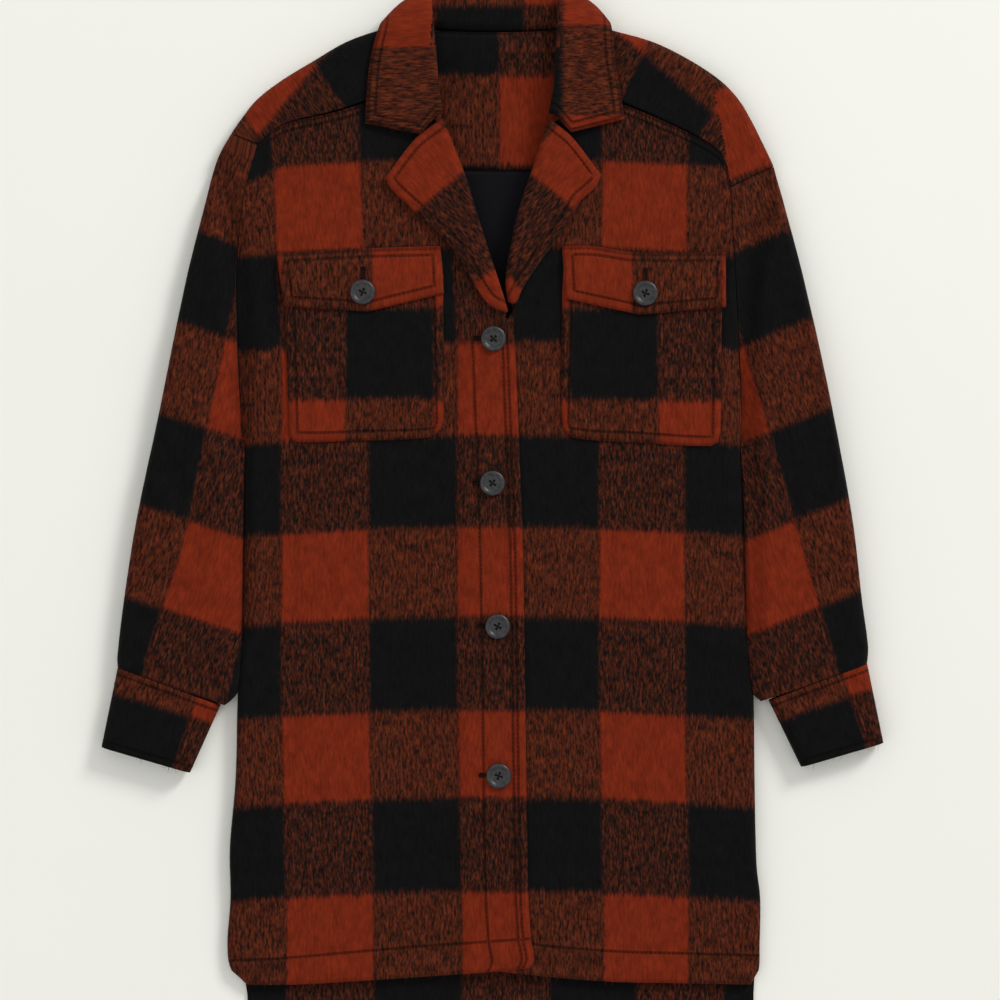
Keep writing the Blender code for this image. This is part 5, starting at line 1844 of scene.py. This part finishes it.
def dress():
    """Make every piece of the jacket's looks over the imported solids."""
    wool = wool_material()
    satin = lining_material()
    horn = button_material()
    dark_thread = thread_material("dark_thread", *DARK_THREAD)
    # Thread for the buttons. Its material also colours the painted shade in the buttonhole slits.
    thread_and_slit_shade = thread_material("button_thread_and_slit_shade", *THREAD_AND_SLIT_SHADE)
    free = ("first_row", "last_column")
    pieces = []

    def cover(name, grids, wall, up, surface=wool, **settings):
        made, settled, area = panel_mesh(name, grids, wall, up, surface, **settings)
        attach(made, "root")
        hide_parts(name)
        pieces.append((name, settled, area))

    cover("back", [back_grid()], CLOTH, False, guide=30, rolled=("first_row",))
    yoke = [grid for side in (RIGHT, LEFT) for grid in yoke_grids(side)]
    cover("yoke", yoke, CLOTH, True)
    cover("neck_facing", [neck_facing_grid()], FACING, False)
    cover("lining", [lining_grid()], LINING, False, satin)
    collar_rolled = ("first_row", "last_row", "last_column")
    cover("collar", [collar_grid()], COLLAR, False, offset=0.0, even=False, rolled=collar_rolled)
    for side, word in ((RIGHT, "right"), (LEFT, "left")):
        cover("front_" + word, [front_grid(side)], CLOTH, True, even=False, rolled=free)
        facing = [facing_grid(side)]
        cover("lapel_facing_" + word, facing, FACING, False, even=False, rolled=("last_row", "last_column"))
        rings = leaned(side, sleeve_rings(side))
        cover("sleeve_" + word, [rings], CLOTH, True, ring=True, guide=30, even=False)
        cover("cuff_" + word, [cuff_rings(side)], CUFF, True, ring=True, guide=20)
        around = ("first_row", "last_row", "first_column", "last_column")
        cover("pocket_" + word, [pocket_grid(side)], CLOTH, False, rolled=around)
        cover("flap_" + word, [flap_grid(side)], FLAP, False, rolled=around)

    lifted = {"pocket": CLOTH, "flap": FLAP, "collar": COLLAR / 2.0, "lapel": FACING, "back": CLOTH}
    lines = []
    for name, settled, _area in pieces:
        over = lifted.get(name.split("_")[0], 0.0)
        for line in stitches_on(name, settled):
            lines.append([point + Vector((0.0, 0.0, over + 0.05)) for point in line])
    sewing = thread_mesh("stitching", lines, dark_thread)
    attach(sewing, "root")

    crossing = []
    worked = []
    slits = []
    tops = []
    for name, x, y in BUTTONS:
        tops.append((name, x, y, top_height(RIGHT, x, y, SEAM), 0.15 * len(tops)))
        hole = (x - 4.5, y + 0.8)
        worked.append(buttonhole(RIGHT, hole, (1.0, 0.02), 0.0))
        slits.append(slit(RIGHT, hole, (1.0, 0.02), 0.0))
    for side, (name, x, y) in zip((RIGHT, LEFT), FLAP_BUTTONS):
        over = CLOTH + FLAP + 3.0 * SEAM
        tops.append((name, x, y, top_height(side, x, y, over + SEAM), 0.4))
        hole = (x, y + 10.0)
        worked.append(buttonhole(side, hole, (0.02, 1.0), over))
        slits.append(slit(side, hole, (0.02, 1.0), over))
    for name, x, y, z, turned in tops:
        middle = Vector((x, y, z))
        made = button_mesh("horn_" + name, middle, turned, horn)
        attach(made, "root")
        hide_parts(name)
        crossing += button_thread_and_slit_shade(middle, turned)
    for name, made in (
        ("button_threads", tube_mesh("button_threads", crossing, 0.3, thread_and_slit_shade)),
        ("buttonhole_threads", tube_mesh("buttonhole_threads", worked, 0.42, dark_thread)),
        # Painted shade: a dark tube along each buttonhole's slit.
        ("buttonhole_slits", tube_mesh("buttonhole_slits", slits, 0.55, thread_and_slit_shade)),
    ):
        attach(made, "root")

    hairy = [piece for piece in pieces if piece[0] != "lining"]
    hairs = hair_mesh(hairy, wool, HAIRS)
    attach(hairs, "root")


def area_light(name, place, aim, size, power, colour):
    """A soft square light at a place, turned to its aim."""
    data = bpy.data.lights.new(name, "AREA")
    data.size = size
    data.energy = power
    data.color = colour
    made = bpy.data.objects.new(name, data)
    made.location = place
    made.rotation_euler = (Vector(aim) - Vector(place)).to_track_quat("-Z", "Y").to_euler()
    bpy.context.scene.collection.objects.link(made)


# Metres: half the floor's side and its level, the camera's height and shift, the height of the cloth
# that the frame is fitted to, and the frame's width there. The sensor is in millimetres.
FLOOR_HALF = 6.0
FLOOR_LEVEL = -0.0004
CAMERA_HEIGHT = 3.2
CAMERA_X = 0.0062
CLOTH_LEVEL = 0.02
FRAME_WIDTH = 0.95
SENSOR = 36.0

# Lights. Columns: name, place, aim, size, power, colour.
LIGHTS = (
    ("key", (4.4, 4.7, 3.9), (0.0, 0.0, 0.0), 2.1, 318.0, (1.0, 0.99, 0.965)),
    ("fill", (-1.8, -0.6, 2.4), (0.0, 0.0, 0.0), 2.4, 10.0, (0.97, 0.98, 1.0)),
)


def studio():
    """The pale floor, the soft light from the upper right and the camera straight above."""
    mesh = bpy.data.meshes.new("floor")
    corners = [(x * FLOOR_HALF, y * FLOOR_HALF, FLOOR_LEVEL) for x, y in ((-1, -1), (1, -1), (1, 1), (-1, 1))]
    mesh.from_pydata(corners, [], [(0, 1, 2, 3)])
    mesh.materials.append(floor_material())
    floor = bpy.data.objects.new("floor", mesh)
    bpy.context.scene.collection.objects.link(floor)
    world = bpy.data.worlds.new("studio")
    world.use_nodes = True
    sky = world.node_tree.nodes["Background"]
    sky.inputs["Color"].default_value = (1.0, 0.995, 0.97, 1.0)
    sky.inputs["Strength"].default_value = 0.63
    bpy.context.scene.world = world
    for light in LIGHTS:
        area_light(*light)
    data = bpy.data.cameras.new("camera")
    data.sensor_width = SENSOR
    data.lens = SENSOR * (CAMERA_HEIGHT - CLOTH_LEVEL) / FRAME_WIDTH
    data.clip_end = 20.0
    camera = bpy.data.objects.new("camera", data)
    camera.location = (CAMERA_X, 0.0, CAMERA_HEIGHT)
    bpy.context.scene.collection.objects.link(camera)
    bpy.context.scene.camera = camera


bpy.context.scene.view_settings.view_transform = "Standard"
studio()
dress()
